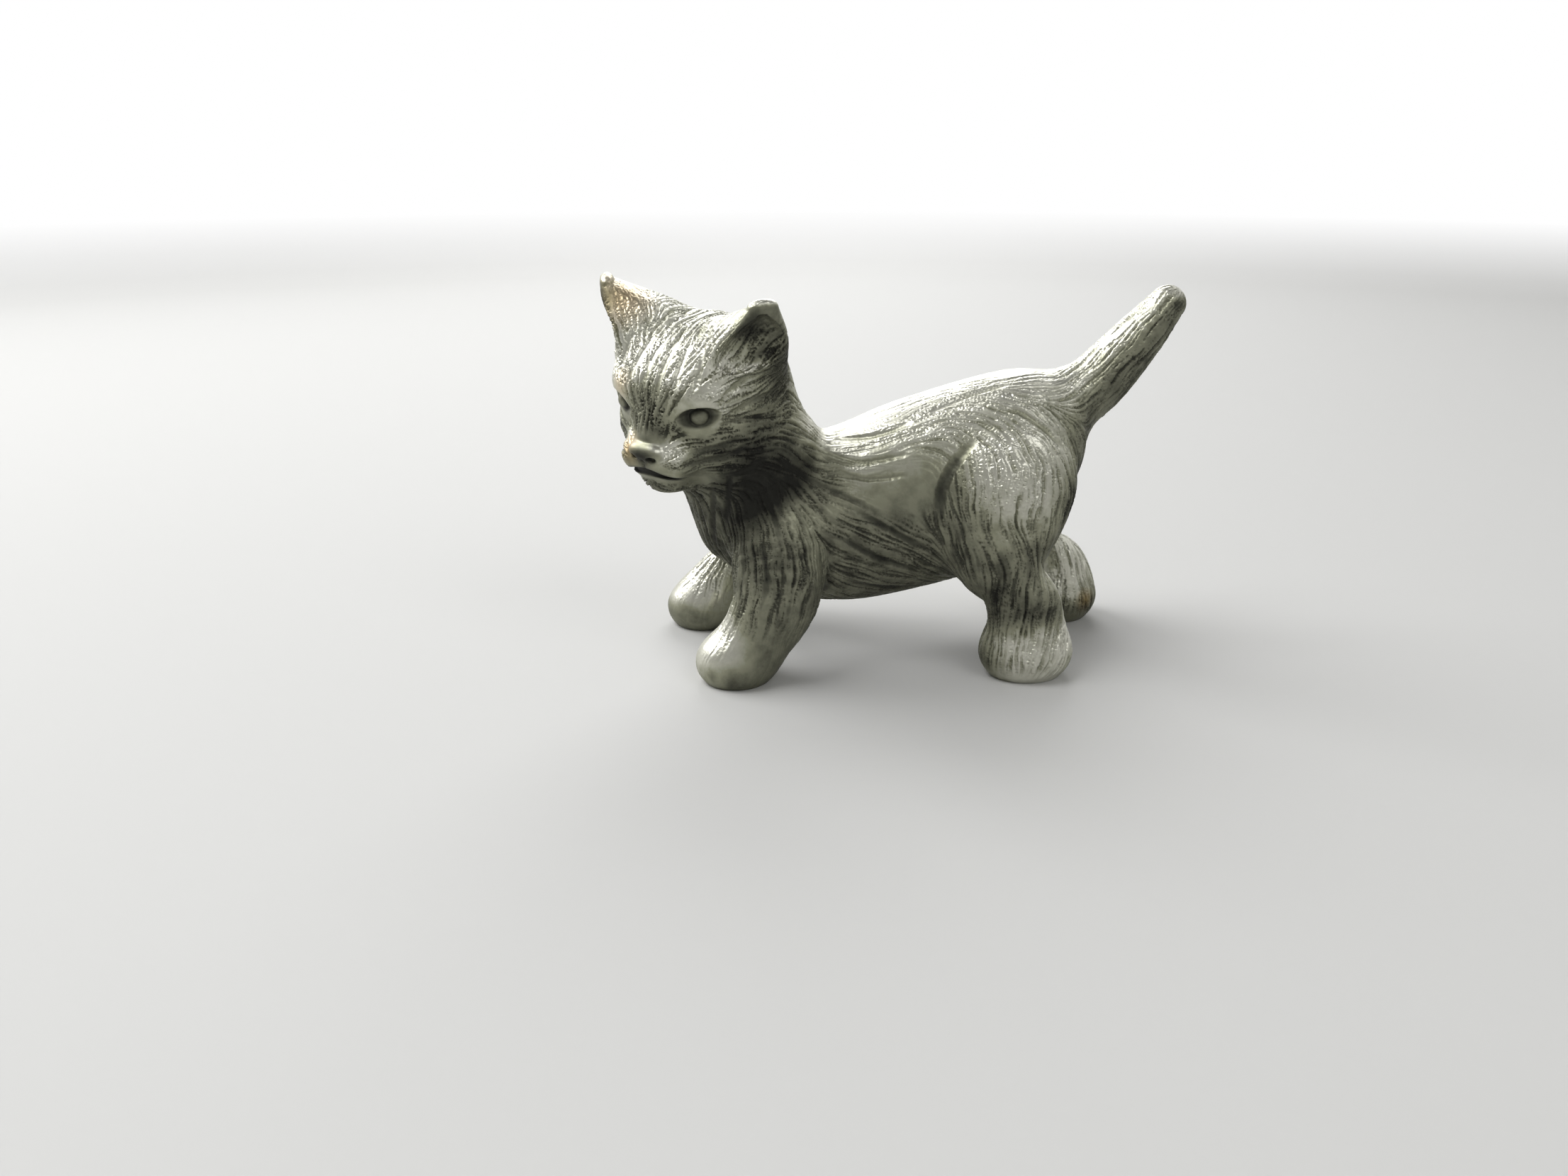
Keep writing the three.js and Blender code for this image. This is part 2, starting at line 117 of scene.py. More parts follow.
# Hind legs: haunch, thigh and knee as places behind the hip, out and up, with half length and half width
THIGH_SECTIONS = ((0.6, 4.3, 13.8, 3.9, 2.2), (-0.6, 4.6, 12.4, 4.5, 2.7), (-1.1, 5.1, 9.4, 3.5, 2.5))
SHANK_HALF = (2.5, 2.2)
HOCK_AHEAD = 0.25
HOCK_HEIGHTS = {"hind_left": 5.0, "hind_right": 4.2}
HOCK_HALF = (2.75, 2.1)
HEEL_SECTION = (2.2, 2.8, 2.2)
HIND_PAW_HEIGHT = 1.8
HIND_PAW_HALF = (3.3, 2.6, 2.3)
HIND_PAW_BLEND = 1.6

# Head: its centre, and its turn, nod and tilt
HEAD_CENTRE = np.array((SHOULDER_X - 4.2, -1.5, 20.3))
HEAD_TURN = math.radians(54)
HEAD_NOD = math.radians(11)
HEAD_TILT = math.radians(4.5)

# Head: masses as places ahead, out and up, half sizes in the same order, and how softly each one joins
HEAD_MASSES = (
    ((-0.5, 0, 0), (6.0, 6.2, 5.8), 0.1),
    ((1.7, 0, 1.4), (4.6, 5.1, 3.9), 1.0),
    ((0.9, 0, -1.9), (4.9, 5.8, 3.8), 1.0),
    ((4.2, 0, -0.5), (2.9, 1.7, 2.2), 1.2),
    ((4.6, 0, -2.3), (2.9, 3.1, 2.0), 0.9),
    ((4.4, 0, -4.1), (2.3, 2.1, 1.3), 0.7),
    ((5.7, 1.3, -2.3), (1.6, 1.5, 1.2), 0.6),
    ((3.6, 2.25, 2.2), (1.8, 2.2, 1.1), 1.4),
    ((3.0, 3.0, -1.3), (1.5, 1.6, 0.9), 0.9),
)
NOSE = ((7.0, 0, -1.45), (0.85, 1.4, 0.72), 0.15)
NOSTRIL = ((7.6, 0.72, -1.8), (0.42, 0.32, 0.24), 0.1)

# Mouth: a slit that droops toward its corners
MOUTH_RISE = -2.9
MOUTH_DROOP = 0.12
MOUTH_HALF_WIDTH = 2.2
MOUTH_HALF_OPENING = 0.26
MOUTH_FLOOR = 7.1
MOUTH_FLOOR_FALL = 0.3
MOUTH_BLEND = 0.22

# Eyes: balls in almonds between two round lids, where a line out of the head's centre leaves it
EYE_WAY = (4.65, 2.97, 0.8)
EYE_SLANT = math.radians(6)
EYE_RADIUS = 0.7
EYE_SINK = 0.6
LID_RADIUS = 2.2
LID_DROP = 1.4
LID_DEPTH = 0.75
LID_BLEND = 0.12
EYE_BLEND = 0.05

# Ears: rise, place ahead and out, half width and half depth of their sections
EAR = (
    (2.6, 0.35, 2.3, 4.1, 3.4),
    (5.4, 0.68, 4.02, 2.9, 3.2),
    (7.95, 1.66, 6.45, 1.05, 0.5),
)
EAR_TURN = math.radians(50)
EAR_TIP_ROUNDING = 0.5
EAR_ROOT_ROUNDING = 2.6
EAR_BLEND = 1.1

# Ears: the cup's foot and top, its place and width as shares of the ear's depth and width, and its depth
EAR_CUP_FOOT = 3.6
EAR_CUP_TOP = 7.5
EAR_CUP_PLACE = 0.97
EAR_CUP_WIDTH = 0.86
EAR_CUP_DEPTH = 1.35
EAR_CUP_END = 0.02
EAR_CUP_BLEND = 0.3

# The photograph's camera: its place, turn, lens and sensor, and the frame's size in pixels
CAMERA_PLACE = np.array((-12.508, -88.377, 37.0))
CAMERA_TURN = Euler((math.radians(70.104), 0, math.radians(-3.3)))
CAMERA_LENS = 27.99
SENSOR_WIDTH = 36.0
FRAME_SIZE = np.array((2212, 1659))

# Tail: places behind and above its root, and radii
TAIL = ((-2.0, -0.8, 2.3), (1.8, 1.0, 2.3), (5.1, 4.5, 1.9), (7.4, 7.4, 1.35))
TAIL_ROOT = np.array((RUMP_X, 0, 18.9))

# The least share of the way from an oval's middle to its skin, so that nothing is divided by 0
CORE_SHARE = np.float32(0.05)


# Forms
def spline(rows):
    """A smooth run through rows of numbers, with a few steps between two rows."""
    rows = np.asarray(rows, float)
    ends = np.vstack([2 * rows[0] - rows[1], rows, 2 * rows[-1] - rows[-2]])
    t = np.linspace(0, 1, SPLINE_STEPS, endpoint=False)[:, None]
    runs = []
    for a, b, c, d in zip(ends, ends[1:], ends[2:], ends[3:]):
        bend = 2 * a - 5 * b + 4 * c - d
        twist = 3 * (b - c) + d - a
        runs.append(b + 0.5 * t * (c - a + t * (bend + t * twist)))
    return np.vstack([*runs, rows[-1:]]).astype(np.float32)


def join(a, b, blend):
    """Two distances as one, with a soft fillet where they meet."""
    share = np.maximum(blend - np.abs(a - b), 0) / np.float32(blend)
    return np.minimum(a, b) - share * share * np.float32(blend / 4)


def cut(a, b, blend):
    """The first distance with the second one taken out of it."""
    return -join(-a, b, blend)


def oval(offset, half):
    """Distance, near enough, from an ellipsoid with these half sizes."""
    half = [np.float32(h) if np.isscalar(h) else h for h in half]
    near = np.sqrt(sum((o / h) ** 2 for o, h in zip(offset, half)))
    slope = np.sqrt(sum((o / h**2) ** 2 for o, h in zip(offset, half)))
    near = np.maximum(near, CORE_SHARE)
    return near * (near - 1) / np.maximum(slope, TINY)


def full_tip(across, forth, past, half):
    """Distance, near enough, from a shaft with a full oval section and a rounded end."""
    wide, deep, end = [np.float32(h) if np.isscalar(h) else h for h in half]
    section = np.cbrt(np.abs(across / wide) ** 3 + np.abs(forth / deep) ** 3)
    section = np.maximum(section, CORE_SHARE)
    near = np.sqrt(section**2 + (past / end) ** 2)
    steep = np.sqrt(((across / wide) ** 2 / wide) ** 2 + ((forth / deep) ** 2 / deep) ** 2) / section**2
    slope = np.sqrt((section * steep) ** 2 + (past / end**2) ** 2) / near
    return (near - 1) / np.maximum(slope, TINY)


def limb(stations):
    """Distance from a limb through stations of x, y, z, half size along and half size across."""
    rows = spline(stations)

    def distance(x, y, z):
        nearest = FAR
        for a, b in zip(rows, rows[1:]):
            run = b - a
            share = (x - a[0]) * run[0] + (y - a[1]) * run[1] + (z - a[2]) * run[2]
            share = np.clip(share / (run[:3] @ run[:3]), 0, 1)
            along = a[3] + run[3] * share
            squeeze = along / (a[4] + run[4] * share)
            dx = x - a[0] - run[0] * share
            dy = (y - a[1] - run[1] * share) * squeeze
            dz = z - a[2] - run[2] * share
            nearest = np.minimum(nearest, np.sqrt(dx * dx + dy * dy + dz * dz) - along)
        return nearest

    return distance


def trunk(x, y, z):
    rows = spline(TRUNK)
    at = np.clip(x, rows[0, 0], rows[-1, 0])
    top, bottom, width = (np.interp(at, rows[:, 0], rows[:, k]).astype(np.float32) for k in (1, 2, 3))
    cap = np.where(x < rows[0, 0], np.float32(CHEST_ROUNDING), np.float32(RUMP_ROUNDING))
    return oval((x - at, y, z - (top + bottom) / 2), (cap, width / 2, (top - bottom) / 2))


def body_form():
    root = np.array((SHOULDER_X, 0, NECK_ROOT_HEIGHT))
    way = HEAD_CENTRE - root
    middle = root + NECK_MIDDLE_SHARE * way + (NECK_MIDDLE_SHIFT, 0, 0)
    top = root + NECK_TOP_SHARE * way
    neck = limb([(*place, radius, radius) for place, radius in zip((root, middle, top), NECK_RADII)])
    return lambda x, y, z: join(trunk(x, y, z), neck(x, y, z), NECK_BLEND)


def leg_form(stations, paw, half, blend):
    """A leg and its paw."""
    shank = limb(stations)

    def distance(x, y, z):
        offset = [p - np.float32(c) for p, c in zip((x, y, z), paw)]
        return join(shank(x, y, z), oval(offset, half), blend)

    return distance


def front_leg(name):
    x, y, _ = soles[name + "_sole"] - MIDDLE
    hand = np.sign(y)
    line = (
        (ARM_X, hand * SHOULDER_OUT),
        (ARM_X, hand * ARM_OUT),
        (ARM_X + ARM_FOLLOW * (x - SHOULDER_X), y),
        (x + WRIST_BEHIND, y),
        (x + PAW_BEHIND, y),
    )
    stations = [(*place, *section) for place, section in zip(line, FRONT_SECTIONS)]
    return leg_form(stations, (x, y, FRONT_PAW_HEIGHT), FRONT_PAW_HALF, FRONT_PAW_BLEND)


def hind_leg(name):
    x, y, _ = soles[name + "_sole"] - MIDDLE
    hand = np.sign(y)
    upper = [(HIP_X + behind, hand * out, *section) for behind, out, *section in THIGH_SECTIONS]
    hock = np.array((x - HOCK_AHEAD, y, HOCK_HEIGHTS[name], *HOCK_HALF))
    shank = (np.array(upper[-1]) + hock) / 2
    shank[3:] = SHANK_HALF
    heel = (x, y, *HEEL_SECTION)
    return leg_form((*upper, shank, hock, heel), (x, y, HIND_PAW_HEIGHT), HIND_PAW_HALF, HIND_PAW_BLEND)


def tail_form():
    return limb([(*(TAIL_ROOT + (reach, 0, rise)), radius, radius) for reach, rise, radius in TAIL])


head_turn = np.array(Euler((HEAD_TILT, -HEAD_NOD, HEAD_TURN), "XYZ").to_matrix())
head_axes = np.array((-head_turn[:, 0], -head_turn[:, 1], head_turn[:, 2]), np.float32)


def in_head(x, y, z):
    """Places ahead of, to the left of and above the head's centre."""
    dx, dy, dz = (p - np.float32(c) for p, c in zip((x, y, z), HEAD_CENTRE))
    return [dx * axis[0] + dy * axis[1] + dz * axis[2] for axis in head_axes]


def from_head(ahead, left, up):
    """A place in the head's own frame as a place from the trunk's middle."""
    return HEAD_CENTRE + np.array((ahead, left, up)) @ head_axes


def ear_forms(ahead, out, up):
    """Distances from the ears' outside and from the cups in them."""
    rows = spline(EAR)
    at = np.clip(up, rows[0, 0], rows[-1, 0])
    columns = [np.interp(at, rows[:, 0], rows[:, k]).astype(np.float32) for k in (1, 2, 3, 4)]
    ear_ahead, ear_out, half, deep = columns
    turn_sine, turn_cosine = np.float32(math.sin(EAR_TURN)), np.float32(math.cos(EAR_TURN))
    across = (out - ear_out) * turn_cosine - (ahead - ear_ahead) * turn_sine
    forth = (ahead - ear_ahead) * turn_cosine + (out - ear_out) * turn_sine
    rounding = np.where(up < at, np.float32(EAR_ROOT_ROUNDING), np.float32(EAR_TIP_ROUNDING))
    outside = full_tip(across, forth, up - at, (half, deep, rounding))
    foot, top = np.float32(EAR_CUP_FOOT), np.float32(EAR_CUP_TOP)
    share = np.clip((up - foot) / (top - foot), EAR_CUP_END, 1 - EAR_CUP_END)
    spoon = np.sqrt(np.sin(np.float32(math.pi) * share))
    cup_half = (half * np.float32(EAR_CUP_WIDTH) * spoon, np.float32(EAR_CUP_DEPTH) * spoon)
    cup = oval((across, forth - deep * np.float32(EAR_CUP_PLACE)), cup_half)
    return outside, np.maximum(cup, np.maximum(foot - up, up - top))


def head_clay(ahead, out, up):
    """Distance from the head's masses and ears, in the head's own frame."""
    clay = FAR
    for place, half, blend in HEAD_MASSES:
        clay = join(clay, oval([p - np.float32(c) for p, c in zip((ahead, out, up), place)], half), blend)
    outside, cup = ear_forms(ahead, out, up)
    return cut(join(clay, outside, EAR_BLEND), cup, EAR_CUP_BLEND)


# How far a line out of a form is followed, and in which steps
RAY_REACH = 14.0
RAY_STEP = 0.02


def on_skin(form, inside, outward):
    """The farthest place at which a line out of a form leaves it."""
    reach = np.arange(0, RAY_REACH, RAY_STEP)[:, None]
    places = np.array(inside) + reach * np.array(outward) / np.linalg.norm(outward)
    within = form(*places.T.astype(np.float32)) < 0
    return places[np.flatnonzero(within)[-1]]


EYE = on_skin(head_clay, (0, 0, 0), EYE_WAY)


def in_eye(ahead, out, up):
    """Places in front of, outward from and above an eye's middle."""
    gaze = math.atan2(EYE[1], EYE[0])
    da, do, rise = (p - np.float32(c) for p, c in zip((ahead, out, up), EYE))
    forth = da * np.float32(math.cos(gaze)) + do * np.float32(math.sin(gaze))
    level = do * np.float32(math.cos(gaze)) - da * np.float32(math.sin(gaze))
    aside = level * np.float32(math.cos(EYE_SLANT)) + rise * np.float32(math.sin(EYE_SLANT))
    rise = rise * np.float32(math.cos(EYE_SLANT)) - level * np.float32(math.sin(EYE_SLANT))
    return forth, aside, rise


def eye_forms(ahead, out, up):
    """Distances from the almond round each eye and from the eye's ball."""
    forth, aside, rise = in_eye(ahead, out, up)
    lid_half = (LID_DEPTH, LID_RADIUS, LID_RADIUS)
    lids = [oval((forth, aside, rise + np.float32(drop)), lid_half) for drop in (LID_DROP, -LID_DROP)]
    ball = oval((forth + np.float32(EYE_SINK), aside, rise), (EYE_RADIUS,) * 3)
    return np.maximum(*lids), ball


def head_form(x, y, z):
    ahead, left, up = in_head(x, y, z)
    out = np.abs(left)
    almond, ball = eye_forms(ahead, out, up)
    clay = join(cut(head_clay(ahead, out, up), almond, LID_BLEND), ball, EYE_BLEND)

    def mass(place, half):
        return oval([p - np.float32(c) for p, c in zip((ahead, out, up), place)], half)

    clay = join(clay, mass(*NOSE[:2]), NOSE[2])
    clay = cut(clay, mass(*NOSTRIL[:2]), NOSTRIL[2])
    line = np.float32(MOUTH_RISE) - np.float32(MOUTH_DROOP) * out * out
    opening = np.float32(MOUTH_HALF_OPENING) * (1 - (out / np.float32(MOUTH_HALF_WIDTH)) ** 2)
    floor = np.float32(MOUTH_FLOOR) - np.float32(MOUTH_FLOOR_FALL) * out * out
    slit = np.maximum(np.abs(up - line) - opening, floor - ahead)
    return cut(clay, slit, MOUTH_BLEND)


# Each casting's form, and how softly it joins the ones before it
FORMS = {
    "body": (body_form(), 0.1),
    "front_left_leg": (front_leg("front_left"), 1.0),
    "front_right_leg": (front_leg("front_right"), 1.0),
    "hind_left_leg": (hind_leg("hind_left"), 1.8),
    "hind_right_leg": (hind_leg("hind_right"), 1.8),
    "tail": (tail_form(), 1.4),
    "head": (head_form, 1.6),
}
NAMES = list(FORMS)


# Clay: a cell's corners, and how near a block's middle is to a surface that may cross the block
CORNERS = [(i, j, k) for i in (0, 1) for j in (0, 1) for k in (0, 1)]
BLOCK_REACH = 1.2
FORM_SLACK = 0.25
NEAR_SURFACE = BLOCK_REACH * BLOCK * STEP + FORM_SLACK

# Rounds of smoothing: the skin, its hollows, its normals, the coat's lie and the castings' borders
SKIN_ROUNDS = 2
HOLLOW_ROUNDS = 2
NORMAL_ROUNDS = 6
LIE_ROUNDS = 6
OWNER_ROUNDS = 8
HOLLOW_REACHES = (0.3, 0.8, 1.8)


def grown_box(low, high):
    """A box of the frame with a margin round it, from the trunk's middle."""
    return np.array(low) / MM - MIDDLE - MARGIN, np.array(high) / MM - MIDDLE + MARGIN


grid_low, grid_high = grown_box(cad_low, cad_high)
grid_blocks = np.ceil((grid_high - grid_low) / (BLOCK * STEP)).astype(int)


def clay_at(places):
    """Distances from the whole figure's surface, flat under the soles."""
    distance = np.full(len(places), FAR, np.float32)
    for name, (form, blend) in FORMS.items():
        low, high = grown_box(*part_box(name))
        here = np.all((places > low) & (places < high), axis=1)
        distance[here] = join(distance[here], form(*places[here].astype(np.float32).T), blend)
    return np.maximum(distance, -places[:, 2]).astype(np.float32)


def fill_clay():
    """The figure as a grid of distances, each block away from the surface with one distance."""
    block = np.stack(np.meshgrid(*map(np.arange, grid_blocks), indexing="ij"), -1).reshape(-1, 3)
    middle = clay_at(grid_low + (block + 0.5) * BLOCK * STEP)
    i, j, k = grid_blocks
    field = np.empty((i, BLOCK, j, BLOCK, k, BLOCK), np.float32)
    field[:] = middle.reshape(i, 1, j, 1, k, 1)
    near = block[np.abs(middle) < NEAR_SURFACE]
    inner = np.stack(np.meshgrid(*[np.arange(BLOCK)] * 3, indexing="ij"), -1).reshape(-1, 3)
    places = grid_low + STEP * (near[:, None] * BLOCK + inner).reshape(-1, 3)
    i, j, k = near.T
    field[i, :, j, :, k, :] = clay_at(places).reshape(-1, BLOCK, BLOCK, BLOCK)
    return field.reshape(grid_blocks * BLOCK)


def shifted(grid, corner):
    return grid[tuple(slice(c, n - 1 + c) for c, n in zip(corner, grid.shape))]


def skin(field):
    """A point in each cell that the surface crosses, a face round each edge it cuts, and cells' points."""
    inside = field < 0
    count = sum(shifted(inside, corner).astype(np.uint8) for corner in CORNERS)
    cells = np.argwhere((count > 0) & (count < len(CORNERS)))
    number = np.full(count.shape, -1, np.int32)
    number[tuple(cells.T)] = np.arange(len(cells))
    total = np.zeros((len(cells), 3))
    hits = np.zeros((len(cells), 1))
    for corner in CORNERS:
        near = field[tuple((cells + corner).T)]
        for axis in range(3):
            if corner[axis]:
                continue
            way = np.eye(3, dtype=int)[axis]
            far = field[tuple((cells + corner + way).T)]
            crossed = (near < 0) != (far < 0)
            share = np.where(crossed, near / np.where(crossed, near - far, 1), 0)
            total += (np.array(corner) + share[:, None] * way) * crossed[:, None]
            hits += crossed[:, None]
    points = grid_low + STEP * (cells + total / hits)
    faces = []
    for axis in range(3):
        start = inside[tuple(slice(0, -1) if a == axis else slice(None) for a in range(3))]
        end = inside[tuple(slice(1, None) if a == axis else slice(None) for a in range(3))]
        edges = np.argwhere(start != end)
        u, v = np.eye(3, dtype=int)[(axis + 1) % 3], np.eye(3, dtype=int)[(axis + 2) % 3]
        ring = [number[tuple((edges - offset).T)] for offset in (u + v, v, 0 * u, u)]
        quads = np.stack(ring, 1)
        outward = start[tuple(edges.T)]
        quads[~outward] = quads[~outward, ::-1]
        faces.append(quads)
    return points, np.vstack(faces), number


def edges_of(faces):
    return np.vstack([faces[:, (k, (k + 1) % 4)] for k in range(4)])


def spread(values, edges, rounds, share=0.5):
    """Values at the points, each drawn toward the mean of its neighbours."""
    values = np.array(values, float)
    ends, others = edges.T
    weight = np.maximum(np.bincount(ends, minlength=len(values)), 1)
    for _ in range(rounds):
        for column in values.T if values.ndim == 2 else [values]:
            mean = np.bincount(ends, column[others], len(values)) / weight
            column += share * (mean - column)
    return values


def unit(vectors):
    return vectors / np.maximum(np.linalg.norm(vectors, axis=1, keepdims=True), 1e-9)


def normals_of(points, faces):
    corner = points[faces]
    face = np.cross(corner[:, 2] - corner[:, 0], corner[:, 3] - corner[:, 1])
    sums = [sum(np.bincount(faces[:, k], face[:, a], len(points)) for k in range(4)) for a in range(3)]
    return unit(np.stack(sums, 1))


def sample(field, points):
    """The clay's distance at points near the surface."""
    place = (points - grid_low) / STEP
    base = np.clip(place.astype(int), 0, np.array(field.shape) - 2)
    share = place - base
    total = np.zeros(len(points))
    for corner in CORNERS:
        weight = np.prod(np.where(corner, share, 1 - share), axis=1)
        total += weight * field[tuple((base + corner).T)]
    return total


def hollowness(points, normals):
    """How closed in each point is, from 0 in the open to 1 in a deep recess."""
    openness = [np.clip(clay_at(points + normals * reach) / reach, 0, 1) for reach in HOLLOW_REACHES]
    return 1 - np.mean(openness, axis=0)


# Coat: strokes of hair in the photograph, each from the pixel at its root to the pixel at its end
BODY_STROKES = (
    ((1100, 645), (1150, 668)), ((1160, 645), (1215, 643)), ((1215, 640), (1280, 615)),
    ((1180, 618), (1240, 612)), ((1200, 660), (1260, 655)), ((1125, 700), (1150, 735)),
    ((1080, 690), (1097, 745)), ((1018, 715), (1028, 765)), ((1040, 720), (1050, 780)),
    ((1075, 780), (1078, 830)), ((1120, 755), (1128, 805)), ((1060, 840), (1045, 890)),
    ((1100, 830), (1088, 890)), ((1140, 800), (1120, 870)), ((1040, 890), (1015, 940)),
    ((1115, 880), (1095, 930)), ((1180, 700), (1230, 715)), ((1180, 740), (1240, 765)),
    ((1200, 770), (1270, 800)), ((1200, 800), (1270, 815)), ((1240, 760), (1300, 785)),
    ((1250, 595), (1330, 560)), ((1330, 552), (1400, 540)), ((1420, 545), (1480, 540)),
    ((1405, 575), (1440, 590)), ((1440, 590), (1480, 615)), ((1480, 600), (1505, 650)),
    ((1420, 605), (1450, 650)), ((1400, 650), (1398, 740)), ((1440, 650), (1425, 740)),
    ((1370, 690), (1375, 750)), ((1340, 700), (1350, 750)), ((1470, 680), (1460, 740)),
    ((1380, 750), (1395, 790)), ((1420, 760), (1440, 800)), ((1440, 800), (1430, 840)),
    ((1400, 870), (1395, 920)), ((1440, 860), (1430, 920)), ((1470, 870), (1460, 930)),
    ((1490, 880), (1475, 930)), ((1500, 550), (1540, 515)), ((1560, 520), (1610, 470)),
    ((1600, 490), (1635, 445)), ((1560, 560), (1600, 515)),
)
HEAD_STROKES = (
    ((909, 529), (926, 470)), ((932, 535), (985, 490)), ((989, 541), (1050, 505)),
    ((1007, 560), (1080, 545)), ((1025, 598), (1090, 587)), ((949, 644), (1000, 632)),
    ((1010, 625), (1080, 612)), ((984, 673), (1050, 661)), ((890, 529), (893, 470)),
    ((890, 450), (875, 405)), ((1005, 510), (1030, 470)), ((1040, 500), (1060, 465)),
    ((912, 598), (908, 552)), ((930, 605), (945, 560)), ((925, 685), (965, 690)),
    ((960, 500), (990, 450)), ((1060, 560), (1095, 530)), ((1020, 645), (1080, 640)),
)

# Coat: the way that it lies on the back of the head, which the photograph hides, ahead, left and up
NAPE_COMBS = (
    ((-1.0, 1.5, 6.0), (-0.9, 0.1, -0.2)),
    ((-5.2, 2.0, 1.5), (-0.4, 0.0, -0.9)),
    ((-3.8, 4.6, -0.5), (-0.8, 0.0, -0.6)),
)
COMB_REACH = 0.8

# Coat: waves that sway its lie, with their way and start, and how far they sway it
SWAYS = (((1.9, 0.7, 1.3), 0.0), ((-0.8, 1.7, 2.3), 1.0))
SWAY_WEIGHT = 0.1

# Coat: one pace along it, then each kind's paces, width and noise at which its cut begins and is full
PACE = 0.13
HAIR_PACES = 6
HAIR_WIDTH = 0.042
HAIR_RISE = (-0.2, 1.1)
STRAND_PACES = 10
STRAND_WIDTH = 0.06
STRAND_RISE = (-0.3, 1.5)
STAIN_WIDTH = 0.13
STAIN_RISE = (0.2, 1.7)
STEP_WIDE_ROUNDS = 4

# Coat: how deep hairs and strands are cut, and the height over which they fade in above the soles
HEAD_HAIR_DEPTH = 0.18
BODY_HAIR_DEPTH = 0.04
BODY_STRAND_DEPTH = 0.15
SOLE_FADE = 0.3

# Coat: smooth flanks, with their middle along and up, half sizes, edge, place out and least depth
FLANK_MIDDLE = (0.4, 14.6)
FLANK_HALF = (3.6, 2.8)
FLANK_EDGE = (0.55, 1.3)
FLANK_OUT = 2
FLANK_LEAST = 0.12

# Coat: worn parts, with how much of the coat is worn off and where that begins and is full
BACK_WEAR = 0.6
BACK_EDGE = (0.55, 0.9)
EAR_WEAR = 0.75
EAR_EDGE = (5.5, 7.5)
NAPE_WEAR = 0.35
NAPE_EDGE = (1.5, 3.5)

# Coat: where it begins and is full above the paws and round the eyes, the nose and the mouth
FRONT_PAW_LEAST = 0.15
FRONT_PAW_EDGE = (2.4, 6.0)
HIND_PAW_EDGE = (0.3, 1.5)
EYE_GAP = (1.3, 1.9)
NOSE_GAP = (1.0, 2.2)
MOUTH_GAP = (0.6, 1.3)
MOUTH_AHEAD = 3.5

# Distances from the camera at which a line of sight is tried
SIGHT = np.arange(65, 125, 0.05)


def seen_at(pixels):
    """The places on the figure that the photograph shows at some pixels."""
    focal = CAMERA_LENS / SENSOR_WIDTH * FRAME_SIZE[0]
    right, down = ((np.array(pixels) - FRAME_SIZE / 2) / focal).T
    ways = np.stack([right, -down, -np.ones(len(right))], 1)
    ways = unit(ways) @ np.array(CAMERA_TURN.to_matrix()).T
    places = CAMERA_PLACE + SIGHT[:, None, None] * ways
    within = clay_at(places.reshape(-1, 3)).reshape(places.shape[:2]) < 0
    return places[np.argmax(within, axis=0), np.arange(len(right))]


def combs_of_coat():
    """Places on both sides of the figure, and the way that the hair lies there."""
    combs = []
    roots, ends = (seen_at([stroke[k] for stroke in BODY_STROKES]) for k in (0, 1))
    for root, end in zip(roots, ends):
        for mirror in ((1, 1, 1), (1, -1, 1)):
            combs.append(((root + end) / 2 * mirror, (end - root) * mirror))
    face = []
    roots, ends = (seen_at([stroke[k] for stroke in HEAD_STROKES]) for k in (0, 1))
    for root, end in zip(roots, ends):
        root, end = np.array(in_head(*root)), np.array(in_head(*end))
        face.append(((root + end) / 2, end - root))
    for place, way in face + [(np.array(place), np.array(way)) for place, way in NAPE_COMBS]:
        for mirror in ((1, 1, 1), (1, -1, 1)):
            combs.append((from_head(*place * mirror), (way * mirror) @ head_axes))
    return combs


def lie_of_coat(points, normals, edges):
    """The way that the hair lies at each point, along the skin."""
    lie = np.zeros(points.shape)
    for place, way in combs_of_coat():
        gap = np.sum((points - place) ** 2, axis=1) + COMB_REACH**2
        lie += way / np.linalg.norm(way) / gap[:, None] ** 2
    lie = unit(lie)
    wave = sum(np.sin(points @ way + start) for way, start in SWAYS)
    lie += SWAY_WEIGHT * np.cross(normals, lie) * wave[:, None]
    lie -= normals * np.sum(lie * normals, axis=1, keepdims=True)
    return unit(spread(unit(lie), edges, LIE_ROUNDS))


def paths_along(lie, points, normals, field, number):
    """For each pace along the coat, forth and back, the point that each point's path has come to."""
    paths = []
    for sense in (1, -1):
        at = points.copy()
        index = np.arange(len(points))
        for _ in range(STRAND_PACES):
            at = at + sense * PACE * lie[index]
            at -= normals[index] * sample(field, at)[:, None]
            cell = np.clip(((at - grid_low) / STEP).astype(int), 0, np.array(number.shape) - 1)
            found = number[tuple(cell.T)]
            index = np.where(found < 0, index, found).astype(np.int32)
            paths.append(index)
    return paths


def streaks(paths, length, width, edges):
    """Noise drawn out along the coat, with a spread of 1, from paths of this many paces."""
    rounds = max(1, round(STEP_WIDE_ROUNDS * (width / STEP) ** 2))
    noise = spread(rng.standard_normal(len(paths[0])), edges, rounds)
    total = noise.copy()
    for start in (0, STRAND_PACES):
        for path in paths[start : start + length]:
            total += noise[path]
    return total / np.std(total)


def ramp(values, low, high):
    """From 0 at low to 1 at high, with soft ends."""
    share = np.clip((values - low) / (high - low), 0, 1)
    return share * share * (3 - 2 * share)


